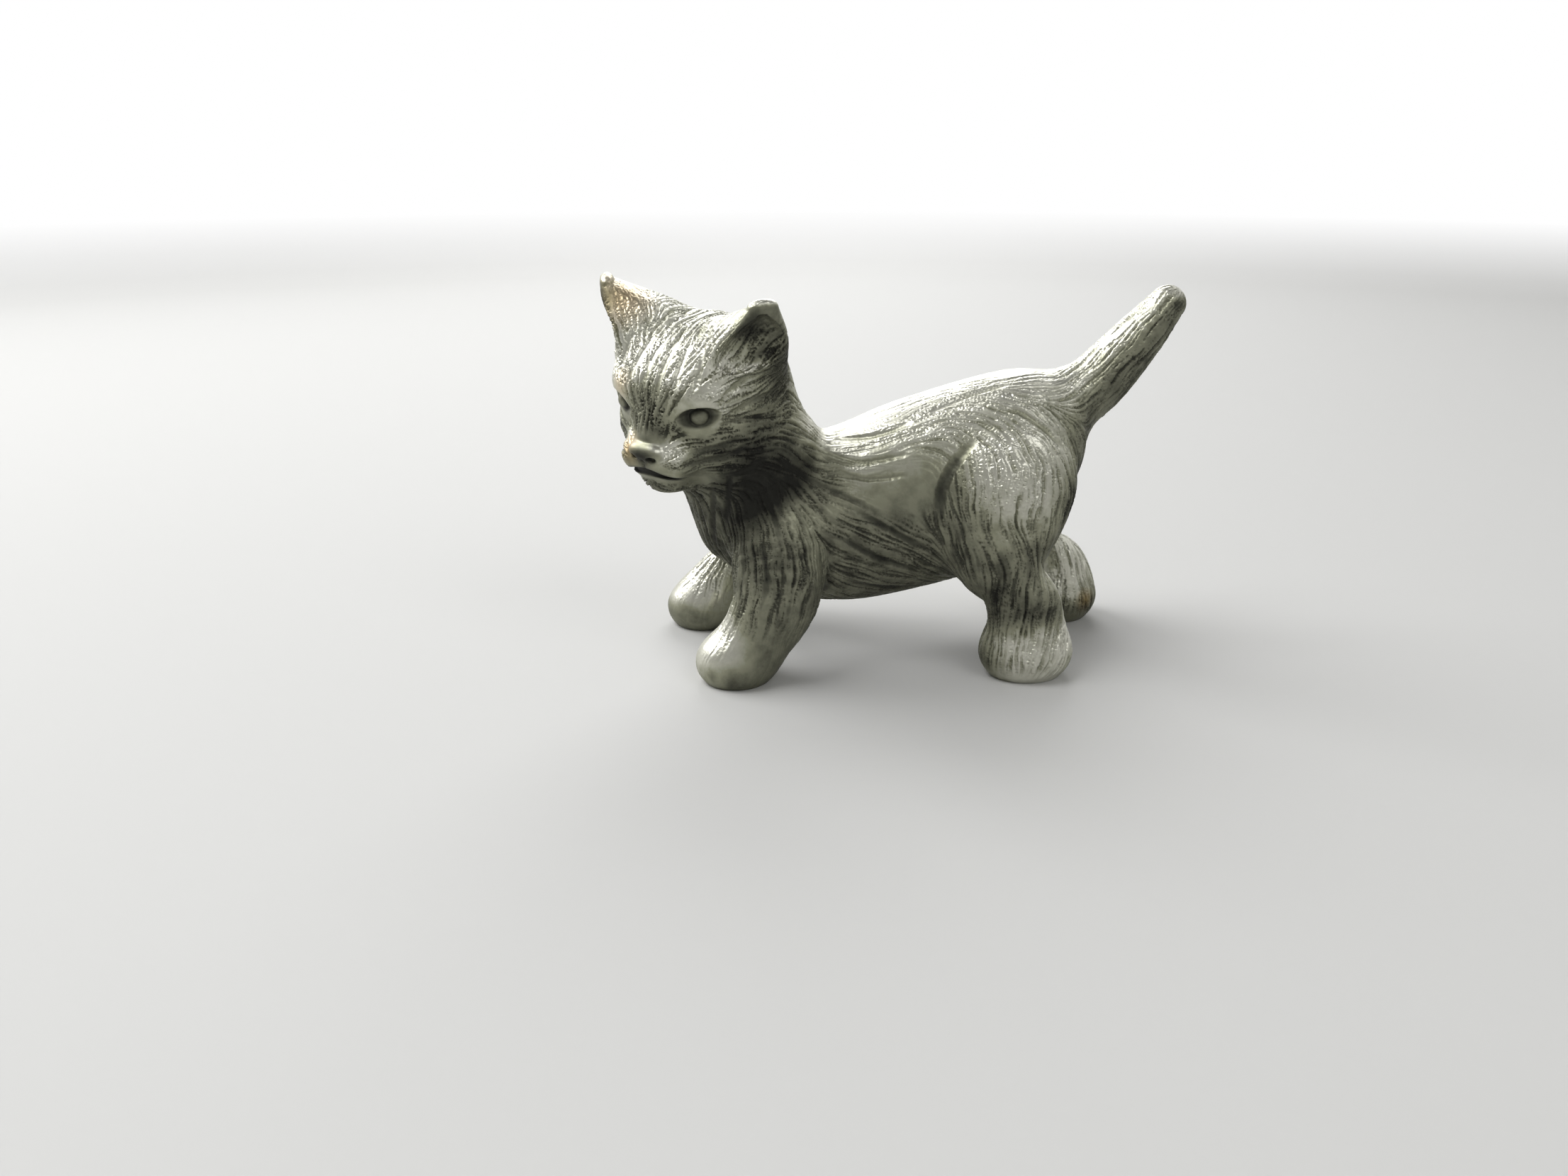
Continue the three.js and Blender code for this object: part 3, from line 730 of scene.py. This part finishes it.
def thickness_of_coat(points, normals, owner):
    """How deep the coat is cut at each point, from 0 where it is left smooth."""
    x, y, z = points.T
    ahead, left, up = in_head(x, y, z)
    out = np.abs(left)
    on_head = owner == NAMES.index("head")
    on_body = owner == NAMES.index("body")
    on_front_leg = np.isin(owner, [NAMES.index("front_left_leg"), NAMES.index("front_right_leg")])
    from_flank = np.hypot((x - FLANK_MIDDLE[0]) / FLANK_HALF[0], (z - FLANK_MIDDLE[1]) / FLANK_HALF[1])
    flank = FLANK_LEAST + (1 - FLANK_LEAST) * ramp(from_flank, *FLANK_EDGE)
    thick = np.where(np.abs(y) > FLANK_OUT, flank, 1)
    thick *= np.where(on_body, 1 - BACK_WEAR * ramp(normals[:, 2], *BACK_EDGE), 1)
    front_paw = FRONT_PAW_LEAST + (1 - FRONT_PAW_LEAST) * ramp(z, *FRONT_PAW_EDGE)
    thick *= np.where(on_front_leg, front_paw, ramp(z, *HIND_PAW_EDGE))
    eye_gap = np.linalg.norm(np.stack([ahead, out, up], 1) - EYE, axis=1)
    nose_gap = np.linalg.norm(np.stack([ahead, left, up], 1) - NOSE[0], axis=1)
    mouth_gap = np.where(ahead > MOUTH_AHEAD, np.abs(up - MOUTH_RISE + MOUTH_DROOP * out * out), FAR)
    face = ramp(eye_gap, *EYE_GAP) * ramp(nose_gap, *NOSE_GAP) * ramp(mouth_gap, *MOUTH_GAP)
    thick *= np.where(on_head, face, 1)
    thick *= np.where(on_head, 1 - EAR_WEAR * ramp(up, *EAR_EDGE), 1)
    thick *= np.where(on_head, 1 - NAPE_WEAR * ramp(-ahead, *NAPE_EDGE), 1)
    return thick


# Paces from a drawn line's first and last marks to where it has faded out
FADE_PACES = 0.7


class Graver:
    """Cuts drawn lines into the skin."""

    def __init__(self, points):
        self.depth = np.zeros(len(points))
        self.tree = kdtree.KDTree(len(points))
        for index, point in enumerate(points):
            self.tree.insert(point, index)
        self.tree.balance()

    def cut(self, places, half_width, depth):
        """A groove along a drawn line, laid on the skin and faded at both ends."""
        line = spline(places)
        length = np.concatenate([[0], np.cumsum(np.linalg.norm(np.diff(line, axis=0), axis=1))])
        marks = np.arange(0, length[-1], PACE)
        path = np.stack([np.interp(marks, length, column) for column in line.T], 1)
        for step, place in enumerate(path):
            share = (step + FADE_PACES) / (len(path) - 1 + 2 * FADE_PACES)
            fade = math.sqrt(math.sin(math.pi * share))
            for _, index, gap in self.tree.find_range(self.tree.find(place)[0], half_width):
                deep = depth * fade * (1 - (gap / half_width) ** 2)
                self.depth[index] = max(self.depth[index], deep)


# Main grooves of the coat on each side: three places each, behind the shoulder and degrees from the spine
BODY_GROOVES = (
    ((4.5, 38), (6.9, 50), (10.0, 48)),
    ((4.9, 55), (7.3, 64), (9.9, 62)),
    ((5.3, 24), (8.0, 30), (10.5, 27)),
    ((12.0, 22), (14.5, 16), (17.5, 14)),
    ((17.6, 28), (19.3, 36), (20.8, 48)),
    ((6.3, 87), (9.0, 104), (11.8, 120)),
    ((6.0, 111), (8.8, 127), (11.6, 139)),
    ((6.2, 141), (9.3, 152), (12.2, 161)),
    ((-2.4, 55), (-2.7, 80), (-2.9, 105)),
    ((-3.6, 66), (-3.8, 100), (-3.6, 135)),
    ((0.8, 54), (2.8, 62), (4.8, 72)),
    ((4.0, 70), (6.0, 79), (8.0, 90)),
)
BODY_CORE_HEIGHT = 12.5

# The same on the head, in degrees out from the nose and up from it
HEAD_GROOVES = (
    ((6, 24), (7, 42), (9, 60)),
    ((18, 24), (21, 42), (27, 58)),
    ((31, 26), (35, 38), (40, 50)),
    ((48, 20), (60, 26), (72, 30)),
    ((54, 9), (70, 13), (88, 14)),
    ((22, -13), (40, -13), (58, -8)),
    ((22, -18), (42, -21), (62, -15)),
    ((46, -34), (60, -32), (76, -26)),
)
GROOVE_HALF_WIDTH = 0.3
GROOVE_DEPTH = 0.2

# More lines on the thigh, the shoulder and the face, with their half width and depth
BODY_LINES = (
    (((5.7, -4.6, 17.1), (4.4, -5.2, 16.0), (3.5, -5.5, 14.2), (3.4, -5.5, 12.6)), 0.5, 0.32),
    (((-5.3, -3.0, 16.3), (-2.9, -4.2, 15.8), (0.2, -4.6, 16.3)), 0.24, 0.14),
    (((-4.9, -4.1, 15.4), (-2.5, -4.8, 15.0), (0.1, -4.9, 15.5)), 0.24, 0.14),
    (((-4.5, -2.3, 16.9), (-1.8, -3.1, 17.4), (0.7, -3.1, 18.3)), 0.2, 0.1),
    (((-9.3, -5.4, 14.4), (-8.6, -5.9, 12.9), (-8.1, -6.5, 11.3)), 0.26, 0.2),
    (((-9.3, -6.7, 10.6), (-9.1, -7.3, 9.2), (-8.9, -7.6, 8.0)), 0.26, 0.2),
)
HEAD_LINES = (
    (((3.9, 4.15, 0.25), (3.3, 4.7, 0.3), (2.6, 5.3, 0.4)), 0.22, 0.16),
    (((6.6, 1.8, -1.45), (5.0, 3.1, -1.45), (3.6, 4.5, -1.3)), 0.18, 0.14),
    (((6.3, 2.0, -2.0), (4.8, 3.4, -2.1), (3.4, 4.6, -1.9)), 0.18, 0.14),
    (((5.9, 1.3, 3.0), (6.0, 1.4, 2.3), (6.1, 1.2, 1.4)), 0.18, 0.14),
    (((7.8, 0, -1.9), (7.7, 0, -2.4), (7.4, 0, -2.8)), 0.16, 0.1),
)


def place_on_body(behind, round_from_spine, hand):
    """A place on the trunk or neck's skin."""
    angle = math.radians(round_from_spine)
    inside = (SHOULDER_X + behind, 0, BODY_CORE_HEIGHT)
    return on_skin(FORMS["body"][0], inside, (0, hand * math.sin(angle), math.cos(angle)))


def place_on_head(out, up, hand):
    """A place on the head's skin. The left hand is -1."""
    out, up = math.radians(out), math.radians(up)
    way = (math.cos(up) * math.cos(out), math.cos(up) * math.sin(out), math.sin(up))
    ahead, aside, rise = on_skin(head_clay, (0, 0, 0), way)
    return from_head(ahead, -hand * aside, rise)


def draw_lines(graver):
    for hand in (-1, 1):
        for place, grooves in ((place_on_body, BODY_GROOVES), (place_on_head, HEAD_GROOVES)):
            for groove in grooves:
                graver.cut([place(*pair, hand) for pair in groove], GROOVE_HALF_WIDTH, GROOVE_DEPTH)
        for line, half_width, depth in BODY_LINES:
            graver.cut([(x, -hand * y, z) for x, y, z in line], half_width, depth)
        for line, half_width, depth in HEAD_LINES:
            graver.cut([from_head(ahead, -hand * left, up) for ahead, left, up in line], half_width, depth)


def owner_of(points, edges):
    """The casting that each point belongs to, in whole patches."""
    x, y, z = points.T.astype(np.float32)
    nearest = np.argmin([form(x, y, z) for form, _ in FORMS.values()], axis=0)
    votes = spread(np.eye(len(NAMES))[nearest], edges, OWNER_ROUNDS)
    return np.argmax(votes, axis=1)


def sculpt():
    """The figure's skin, with each point's normal and casting, and what its finish follows."""
    field = fill_clay()
    points, faces, number = skin(field)
    edges = edges_of(faces)
    points = spread(points, edges, SKIN_ROUNDS)
    normals = normals_of(points, faces)
    hollow = spread(hollowness(points, normals), edges, HOLLOW_ROUNDS)
    owner = owner_of(points, edges)
    smooth = unit(spread(normals, edges, NORMAL_ROUNDS))
    lie = lie_of_coat(points, smooth, edges)
    paths = paths_along(lie, points, normals, field, number)
    on_head = owner == NAMES.index("head")
    hair = ramp(streaks(paths, HAIR_PACES, HAIR_WIDTH, edges), *HAIR_RISE)
    strand = ramp(streaks(paths, STRAND_PACES, STRAND_WIDTH, edges), *STRAND_RISE)
    stain = ramp(streaks(paths, STRAND_PACES, STAIN_WIDTH, edges), *STAIN_RISE)
    thick = thickness_of_coat(points, smooth, owner)
    body_coat = BODY_HAIR_DEPTH * hair + BODY_STRAND_DEPTH * strand
    coat = thick * np.where(on_head, HEAD_HAIR_DEPTH * hair, body_coat)
    graver = Graver(points)
    draw_lines(graver)
    foot = np.clip(points[:, 2] / SOLE_FADE, 0, 1)
    depth = np.maximum(coat, graver.depth) * foot
    points = points - normals * depth[:, None]
    coat *= np.where(on_head, 1, BODY_COAT_SHADE)
    values = patina_and_painted_light_of(points, coat, graver.depth, stain * thick, hollow, smooth[:, 2])
    return points, faces, normals_of(points, faces), owner, values


# Castings: how far the fan that closes a joint is drawn in toward the figure's middle plane
JOINT_HUB = np.array((1, 0.4, 1))


def rim_loops(faces):
    """The open edges of some faces, as closed loops of points."""
    there = set(map(tuple, edges_of(faces).tolist()))
    after = {}
    for a, b in there:
        if (b, a) not in there:
            after.setdefault(a, []).append(b)
    loops = []
    while after:
        loop = [next(iter(after))]
        while True:
            ways = after[loop[-1]]
            step = ways.pop()
            if not ways:
                del after[loop[-1]]
            if step == loop[0]:
                break
            loop.append(step)
        loops.append(loop)
    return loops


def make_casting(name, faces, points, normals, values, material):
    """One casting of the figure, closed where it meets its neighbours."""
    used, local = np.unique(faces, return_inverse=True)
    local = local.reshape(faces.shape)
    places = points[used].tolist()
    facing = normals[used].tolist()
    polygons = local.tolist()
    for loop in rim_loops(local):
        hub = np.mean([places[i] for i in loop], axis=0) * JOINT_HUB
        polygons += [(b, a, len(places)) for a, b in zip(loop, loop[1:] + loop[:1])]
        places.append(hub.tolist())
        facing.append((0, 0, 1))
    mesh = bpy.data.meshes.new(name + "_skin")
    mesh.from_pydata((np.array(places) + MIDDLE) * MM, [], polygons)
    mesh.normals_split_custom_set_from_vertices(facing)
    for label, value in values.items():
        layer = mesh.attributes.new(label, "FLOAT", "POINT")
        layer.data.foreach_set("value", np.append(value[used], np.zeros(len(places) - len(used))))
    mesh.materials.append(material)
    casting = bpy.data.objects.new(name + "_skin", mesh)
    bpy.context.scene.collection.objects.link(casting)
    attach(casting, "root")
    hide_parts(name)


# Finish: places that the tarnish warms, with their reach
TARNISH_SPOTS = (
    (from_head(6.9, -1.4, -1.6), 1.6),
    (from_head(5.0, -2.6, 2.2), 1.4),
    (from_head(2.0, -5.0, 6.6), 2.8),
    (np.array((17.5, 3.9, 2.0)), 1.2),
)

# Finish: places with their reach and how much painted shade they get, or below 0 how much painted highlight,
# the same on both sides; the face's own list also darkens the nose
PAINTED_SHADE_AND_HIGHLIGHT_SPOTS = (
    ((-12.0, 2.0, 12.0), 6.0, 0.16),
    ((-9.0, 7.0, 10.5), 4.6, 0.3),
    ((-9.5, 5.0, 14.0), 4.0, 0.26),
    ((-5.5, 5.0, 15.5), 3.6, 0.32),
    ((0.0, 0.0, 5.0), 6.0, 0.12),
    ((10.2, 6.5, 5.8), 4.2, 0.14),
    ((14.5, 3.5, 12.5), 4.4, 0.36),
    ((9.0, 7.0, 14.0), 5.4, -0.36),
    ((3.5, 0.0, 19.8), 6.0, -0.28),
    ((10.5, 7.5, 1.6), 4.4, -0.62),
    ((15.0, 5.5, 3.5), 4.2, -0.65),
    ((-13.0, 6.0, 3.0), 4.0, -0.5),
)
FACE_PAINTED_SHADE_AND_HIGHLIGHT_SPOTS = (
    ((1.6, 5.6, -3.6), 4.2, 0.3),
    ((2.5, 6.1, 6.3), 1.8, 0.4),
    ((3.6, 3.2, 3.0), 5.0, -0.52),
    ((6.0, 1.5, -2.0), 2.4, -0.35),
    ((7.5, 0.0, -1.4), 1.4, 0.35),
    ((0.2, 3.2, 7.2), 2.4, -0.3),
    ((-0.5, 7.0, 3.5), 2.6, 0.25),
)
PAINTED_SPOT_CORE = 0.2
BODY_COAT_SHADE = 0.85

# Finish: how dark hairs and lines get, and the depths at which they do
HAIR_DARK = 0.36
HAIR_DARK_DEPTH = 0.11
HAIR_DARK_START = 0.5
LINE_DARK = 0.26
LINE_DARK_DEPTH = 0.2
LINE_DARK_MOST = 1.4

# Finish: how dark stains get, how dark recesses get as patina in the hollows and painted shade, how much
# painted shade sides that don't face up get, and where each begins and is full
STAIN_DARK = 0.12
RECESS_PATINA_AND_SHADE = 0.85
RECESS_START = 0.2
RECESS_RANGE = 0.6
SIDE_PAINTED_SHADE = 0.5
SIDE_RISE = (-0.1, 0.8)

# Finish: how dark the eyes and lips are, as patina and painted shade in each eye's almond and along the
# mouth, with the eyes' half sizes and the edges of each
EYE_HALF = (1.3, 0.72)
EYE_DEPTH = 1
EYE_PATINA_AND_SHADE = 0.28
EYE_RIM_PATINA_AND_SHADE = 0.08
EYE_RIM = (0.35, 0.75)
EYE_EDGE = (0.9, 1.3)
LIPS_PATINA_AND_SHADE = 0.4
LIPS_EDGE = (0.15, 0.5)
LIPS_END_SHARE = 0.8
LIPS_AHEAD = 4


def paint_shade_and_highlight(places, painted_spots):
    """How much painted shade there is at places near some spots, or below 0 how much painted highlight."""
    dark = np.zeros(len(places))
    for place, reach, weight in painted_spots:
        gap = np.linalg.norm(places - place, axis=1) / reach
        dark += weight * (1 - ramp(gap, PAINTED_SPOT_CORE, 1))
    return dark


def patina_and_painted_light_of(points, coat, line, stain, hollow, rise):
    """How dark the patina and the painted shade lie at each point, lighter where a highlight is painted, and
    how warm the tarnish is.
    """
    hair_dark = HAIR_DARK * np.clip(coat / HAIR_DARK_DEPTH - HAIR_DARK_START, 0, 1)
    line_dark = LINE_DARK * np.clip(line / LINE_DARK_DEPTH, 0, LINE_DARK_MOST)
    # Recesses are darker: partly patina in the hollows, partly painted shade.
    recess = np.clip((hollow - RECESS_START) / RECESS_RANGE, 0, 1)
    dark = np.maximum(hair_dark, line_dark) + STAIN_DARK * stain + RECESS_PATINA_AND_SHADE * recess
    # Painted shade: sides that don't face up are darker, partly also patina that isn't rubbed off there.
    dark += SIDE_PAINTED_SHADE * (1 - ramp(rise, *SIDE_RISE))
    # Painted shade at spots on both sides, and painted highlights where a spot's weight is below 0.
    dark += paint_shade_and_highlight(np.stack([points[:, 0], np.abs(points[:, 1]), points[:, 2]], 1), PAINTED_SHADE_AND_HIGHLIGHT_SPOTS)
    ahead, left, up = in_head(*points.T)
    out = np.abs(left)
    # Painted shade and highlights on the face, and a darker nose.
    dark += paint_shade_and_highlight(np.stack([ahead, out, up], 1), FACE_PAINTED_SHADE_AND_HIGHLIGHT_SPOTS)
    # Painted shade, with patina, darkens the eye's almond round its ball.
    forth, aside, over = in_eye(ahead, out, up)
    almond = np.hypot(aside / EYE_HALF[0], over / EYE_HALF[1])
    eye = (EYE_PATINA_AND_SHADE + EYE_RIM_PATINA_AND_SHADE * ramp(almond, *EYE_RIM)) * (1 - ramp(almond, *EYE_EDGE))
    dark += np.where(np.abs(forth) < EYE_DEPTH, eye, 0)
    # Patina and painted shade along the mouth's slit.
    mouth = np.abs(up - MOUTH_RISE + MOUTH_DROOP * out * out)
    lips = 1 - ramp(mouth, *LIPS_EDGE)
    lips *= 1 - ramp(out, LIPS_END_SHARE * MOUTH_HALF_WIDTH, MOUTH_HALF_WIDTH)
    dark += np.where(ahead > LIPS_AHEAD, LIPS_PATINA_AND_SHADE * lips, 0)
    tarnish = np.zeros(len(points))
    for place, reach in TARNISH_SPOTS:
        gap = np.linalg.norm(points - place, axis=1) / reach
        tarnish = np.maximum(tarnish, np.clip(1 - gap, 0, 1))
    # This attribute holds the patina together with painted shade and painted highlights.
    return {"patina_and_painted_light": np.clip(dark, 0, 1), "tarnish": tarnish}


class Nodes:
    """Short calls for building a material's node tree."""

    def __init__(self, name):
        self.material = bpy.data.materials.new(name)
        self.material.use_nodes = True
        self.tree = self.material.node_tree
        self.shader = self.tree.nodes["Principled BSDF"]

    def add(self, kind, settings=None, **inputs):
        made = self.tree.nodes.new(kind)
        for key, value in (settings or {}).items():
            setattr(made, key, value)
        for key, value in inputs.items():
            self.set(made, key.replace("_", " "), value)
        return made

    def set(self, made, key, value):
        """Sets or links an input, by its name or, as i and a number, by its place."""
        by_place = key[0] == "i" and key[1:].isdigit()
        socket = made.inputs[int(key[1:]) if by_place else key]
        if isinstance(value, bpy.types.NodeSocket):
            self.tree.links.new(value, socket)
        else:
            socket.default_value = value

    def math(self, operation, a, b):
        return self.add("ShaderNodeMath", {"operation": operation, "use_clamp": True}, i0=a, i1=b).outputs[0]

    def ramp(self, value, stops):
        made = self.add("ShaderNodeValToRGB", Fac=value)
        elements = made.color_ramp.elements
        while len(elements) < len(stops):
            elements.new(0.5)
        for element, (position, colour) in zip(elements, stops):
            element.position = position
            element.color = (*colour, 1)
        return made.outputs["Color"]


# Pewter: colours from worn bright to black, the tarnish's tint, and the noise of its clouds and grain
PEWTER_COLOURS = (
    (0.0, (0.68, 0.675, 0.59)),
    (0.35, (0.32, 0.322, 0.237)),
    (0.7, (0.1, 0.101, 0.075)),
    (1.0, (0.02, 0.02, 0.016)),
)
TARNISH_TINT = (0.86, 0.62, 0.36, 1)
CLOUDS = {"Scale": 700.0, "Detail": 4.0, "Roughness": 0.6}
GRAIN = {"Scale": 5200.0, "Detail": 3.0, "Roughness": 0.6}
GRAIN_BUMP = {"Strength": 0.12, "Distance": 0.00006}

# Pewter: how the clouds mottle it, how far patina and painted shade dull it, and its roughness bright, dark
# and cloudy
MOTTLE_MIDDLE = 0.42
MOTTLE_WEIGHT = 0.6
PATINA_AND_SHADE_DULLING = 0.35
BRIGHT_ROUGHNESS = 0.26
PATINA_AND_SHADE_ROUGHNESS = 0.3
CLOUD_ROUGHNESS = 0.16


def pewter_material():
    """Antiqued pewter: bright on top, where it is worn and has painted highlights, dark in every groove, and
    darker with painted shade on its sides and in its recesses.
    """
    nodes = Nodes("pewter")
    place = nodes.add("ShaderNodeTexCoord").outputs["Object"]
    cloud = nodes.add("ShaderNodeTexNoise", Vector=place, **CLOUDS).outputs["Fac"]
    grain = nodes.add("ShaderNodeTexNoise", Vector=place, **GRAIN).outputs["Fac"]
    # The attribute darkens the pewter with patina and painted shade, and lightens it with painted highlights.
    patina_and_painted_light = nodes.add("ShaderNodeAttribute", {"attribute_name": "patina_and_painted_light"}).outputs["Fac"]
    tarnish = nodes.add("ShaderNodeAttribute", {"attribute_name": "tarnish"}).outputs["Fac"]
    mottle = nodes.math("MULTIPLY", nodes.math("SUBTRACT", cloud, MOTTLE_MIDDLE), MOTTLE_WEIGHT)
    dark = nodes.math("ADD", patina_and_painted_light, mottle)
    colour = nodes.ramp(dark, PEWTER_COLOURS)
    warm = nodes.add("ShaderNodeMix", {"data_type": "RGBA", "blend_type": "MULTIPLY"})
    nodes.set(warm, "i0", tarnish)
    nodes.set(warm, "i6", colour)
    nodes.set(warm, "i7", TARNISH_TINT)
    nodes.set(nodes.shader, "Base Color", warm.outputs[2])
    dulling = nodes.math("MULTIPLY", dark, PATINA_AND_SHADE_DULLING)
    nodes.set(nodes.shader, "Metallic", nodes.math("SUBTRACT", 1.0, dulling))
    patina_and_shade_rough = nodes.math("MULTIPLY", dark, PATINA_AND_SHADE_ROUGHNESS)
    rough = nodes.math("ADD", patina_and_shade_rough, nodes.math("MULTIPLY", cloud, CLOUD_ROUGHNESS))
    nodes.set(nodes.shader, "Roughness", nodes.math("ADD", rough, BRIGHT_ROUGHNESS))
    bump = nodes.add("ShaderNodeBump", Height=grain, **GRAIN_BUMP)
    nodes.set(nodes.shader, "Normal", bump.outputs["Normal"])
    return nodes.material


# Stage: the floor's radius, the bend and height of the wall round it, and where the wall is white at the back
FLOOR_RADIUS = 0.30
WALL_BEND = 0.2
WALL_HEIGHT = 0.8
WALL_WHITE_HEIGHT = 0.015
WALL_WHITE_FRONT = -0.1
WALL_WHITE_FADE = 0.25
WALL_SIDES = 96
BEND_STEPS = 12
PAPER_COLOUR = (0.63, 0.63, 0.62, 1)
PAPER_ROUGHNESS = 0.75

# Stage: lamps with their places, sizes and powers, all aimed at one place, and the light from all round
LAMPS = (
    ("window", (-0.27, 0.12, 0.26), 0.30, 0.8),
    ("sky", (0.02, 0.34, 0.25), 0.30, 0.7),
    ("key", (-0.18, -0.05, 0.34), 0.2, 0.5),
    ("fill", (0.18, -0.26, 0.32), 0.24, 0.25),
)
LAMP_AIM = (0, 0, 0.012)
WORLD_COLOUR = (0.56, 0.56, 0.55, 1)
WORLD_STRENGTH = 0.3
CLIP_START = 0.001


def paper_material():
    """Pale paper, which is lit white where it stands up behind the figure."""
    nodes = Nodes("pale_paper")
    nodes.set(nodes.shader, "Base Color", PAPER_COLOUR)
    nodes.set(nodes.shader, "Roughness", PAPER_ROUGHNESS)
    place = nodes.add("ShaderNodeTexCoord").outputs["Object"]
    axes = nodes.add("ShaderNodeSeparateXYZ", Vector=place).outputs
    behind = nodes.math("DIVIDE", nodes.math("SUBTRACT", axes["Y"], WALL_WHITE_FRONT), WALL_WHITE_FADE)
    standing = nodes.math("DIVIDE", axes["Z"], WALL_WHITE_HEIGHT)
    rays = nodes.add("ShaderNodeLightPath").outputs
    seen = nodes.math("MAXIMUM", rays["Is Camera Ray"], rays["Is Glossy Ray"])
    seen = nodes.math("MAXIMUM", seen, rays["Is Transmission Ray"])
    share = nodes.math("MULTIPLY", seen, nodes.math("MULTIPLY", behind, standing))
    white = nodes.add("ShaderNodeEmission", Color=(1, 1, 1, 1), Strength=1.0).outputs[0]
    both = nodes.add("ShaderNodeMixShader", Fac=share, i1=nodes.shader.outputs[0], i2=white)
    nodes.set(nodes.tree.nodes["Material Output"], "Surface", both.outputs[0])
    return nodes.material


def make_backdrop():
    """A pale round floor, with a wall that sweeps up round it."""
    profile = [(FLOOR_RADIUS / 3, 0.0), (FLOOR_RADIUS, 0.0)]
    for step in range(1, BEND_STEPS + 1):
        angle = step / BEND_STEPS * math.pi / 2
        profile.append((FLOOR_RADIUS + WALL_BEND * math.sin(angle), WALL_BEND * (1 - math.cos(angle))))
    profile.append((FLOOR_RADIUS + WALL_BEND, WALL_HEIGHT))
    places = [(0, 0, 0)]
    for radius, height in profile:
        for side in range(WALL_SIDES):
            turn = 2 * math.pi * side / WALL_SIDES
            places.append((-radius * math.sin(turn), -radius * math.cos(turn), height))
    sides = [(side, (side + 1) % WALL_SIDES) for side in range(WALL_SIDES)]
    polygons = [(0, 1 + b, 1 + a) for a, b in sides]
    for ring in range(len(profile) - 1):
        inner = 1 + ring * WALL_SIDES
        outer = inner + WALL_SIDES
        polygons += [(inner + a, inner + b, outer + b, outer + a) for a, b in sides]
    mesh = bpy.data.meshes.new("backdrop")
    mesh.from_pydata(places, [], polygons)
    mesh.shade_smooth()
    mesh.materials.append(paper_material())
    backdrop = bpy.data.objects.new("backdrop", mesh)
    bpy.context.scene.collection.objects.link(backdrop)


def make_light(name, place, size, energy):
    data = bpy.data.lights.new(name, "AREA")
    data.shape = "DISK"
    data.size = size
    data.energy = energy
    light = bpy.data.objects.new(name, data)
    light.location = place
    light.rotation_euler = (Vector(LAMP_AIM) - Vector(place)).to_track_quat("-Z", "Y").to_euler()
    bpy.context.scene.collection.objects.link(light)


def make_stage():
    make_backdrop()
    for lamp in LAMPS:
        make_light(*lamp)
    world = bpy.data.worlds.new("studio")
    world.use_nodes = True
    background = world.node_tree.nodes["Background"]
    background.inputs["Color"].default_value = WORLD_COLOUR
    background.inputs["Strength"].default_value = WORLD_STRENGTH
    bpy.context.scene.world = world
    bpy.context.scene.view_settings.view_transform = "Standard"
    camera = bpy.data.objects.new("camera", bpy.data.cameras.new("camera"))
    camera.data.lens = CAMERA_LENS
    camera.data.clip_start = CLIP_START
    camera.location = (CAMERA_PLACE + MIDDLE) * MM
    camera.rotation_euler = CAMERA_TURN
    bpy.context.scene.collection.objects.link(camera)
    bpy.context.scene.camera = camera


points, faces, normals, owner, values = sculpt()
face_owner = np.sort(owner[faces], axis=1)[:, 1]
pewter = pewter_material()
for number, name in enumerate(NAMES):
    make_casting(name, faces[face_owner == number], points, normals, values, pewter)
make_stage()
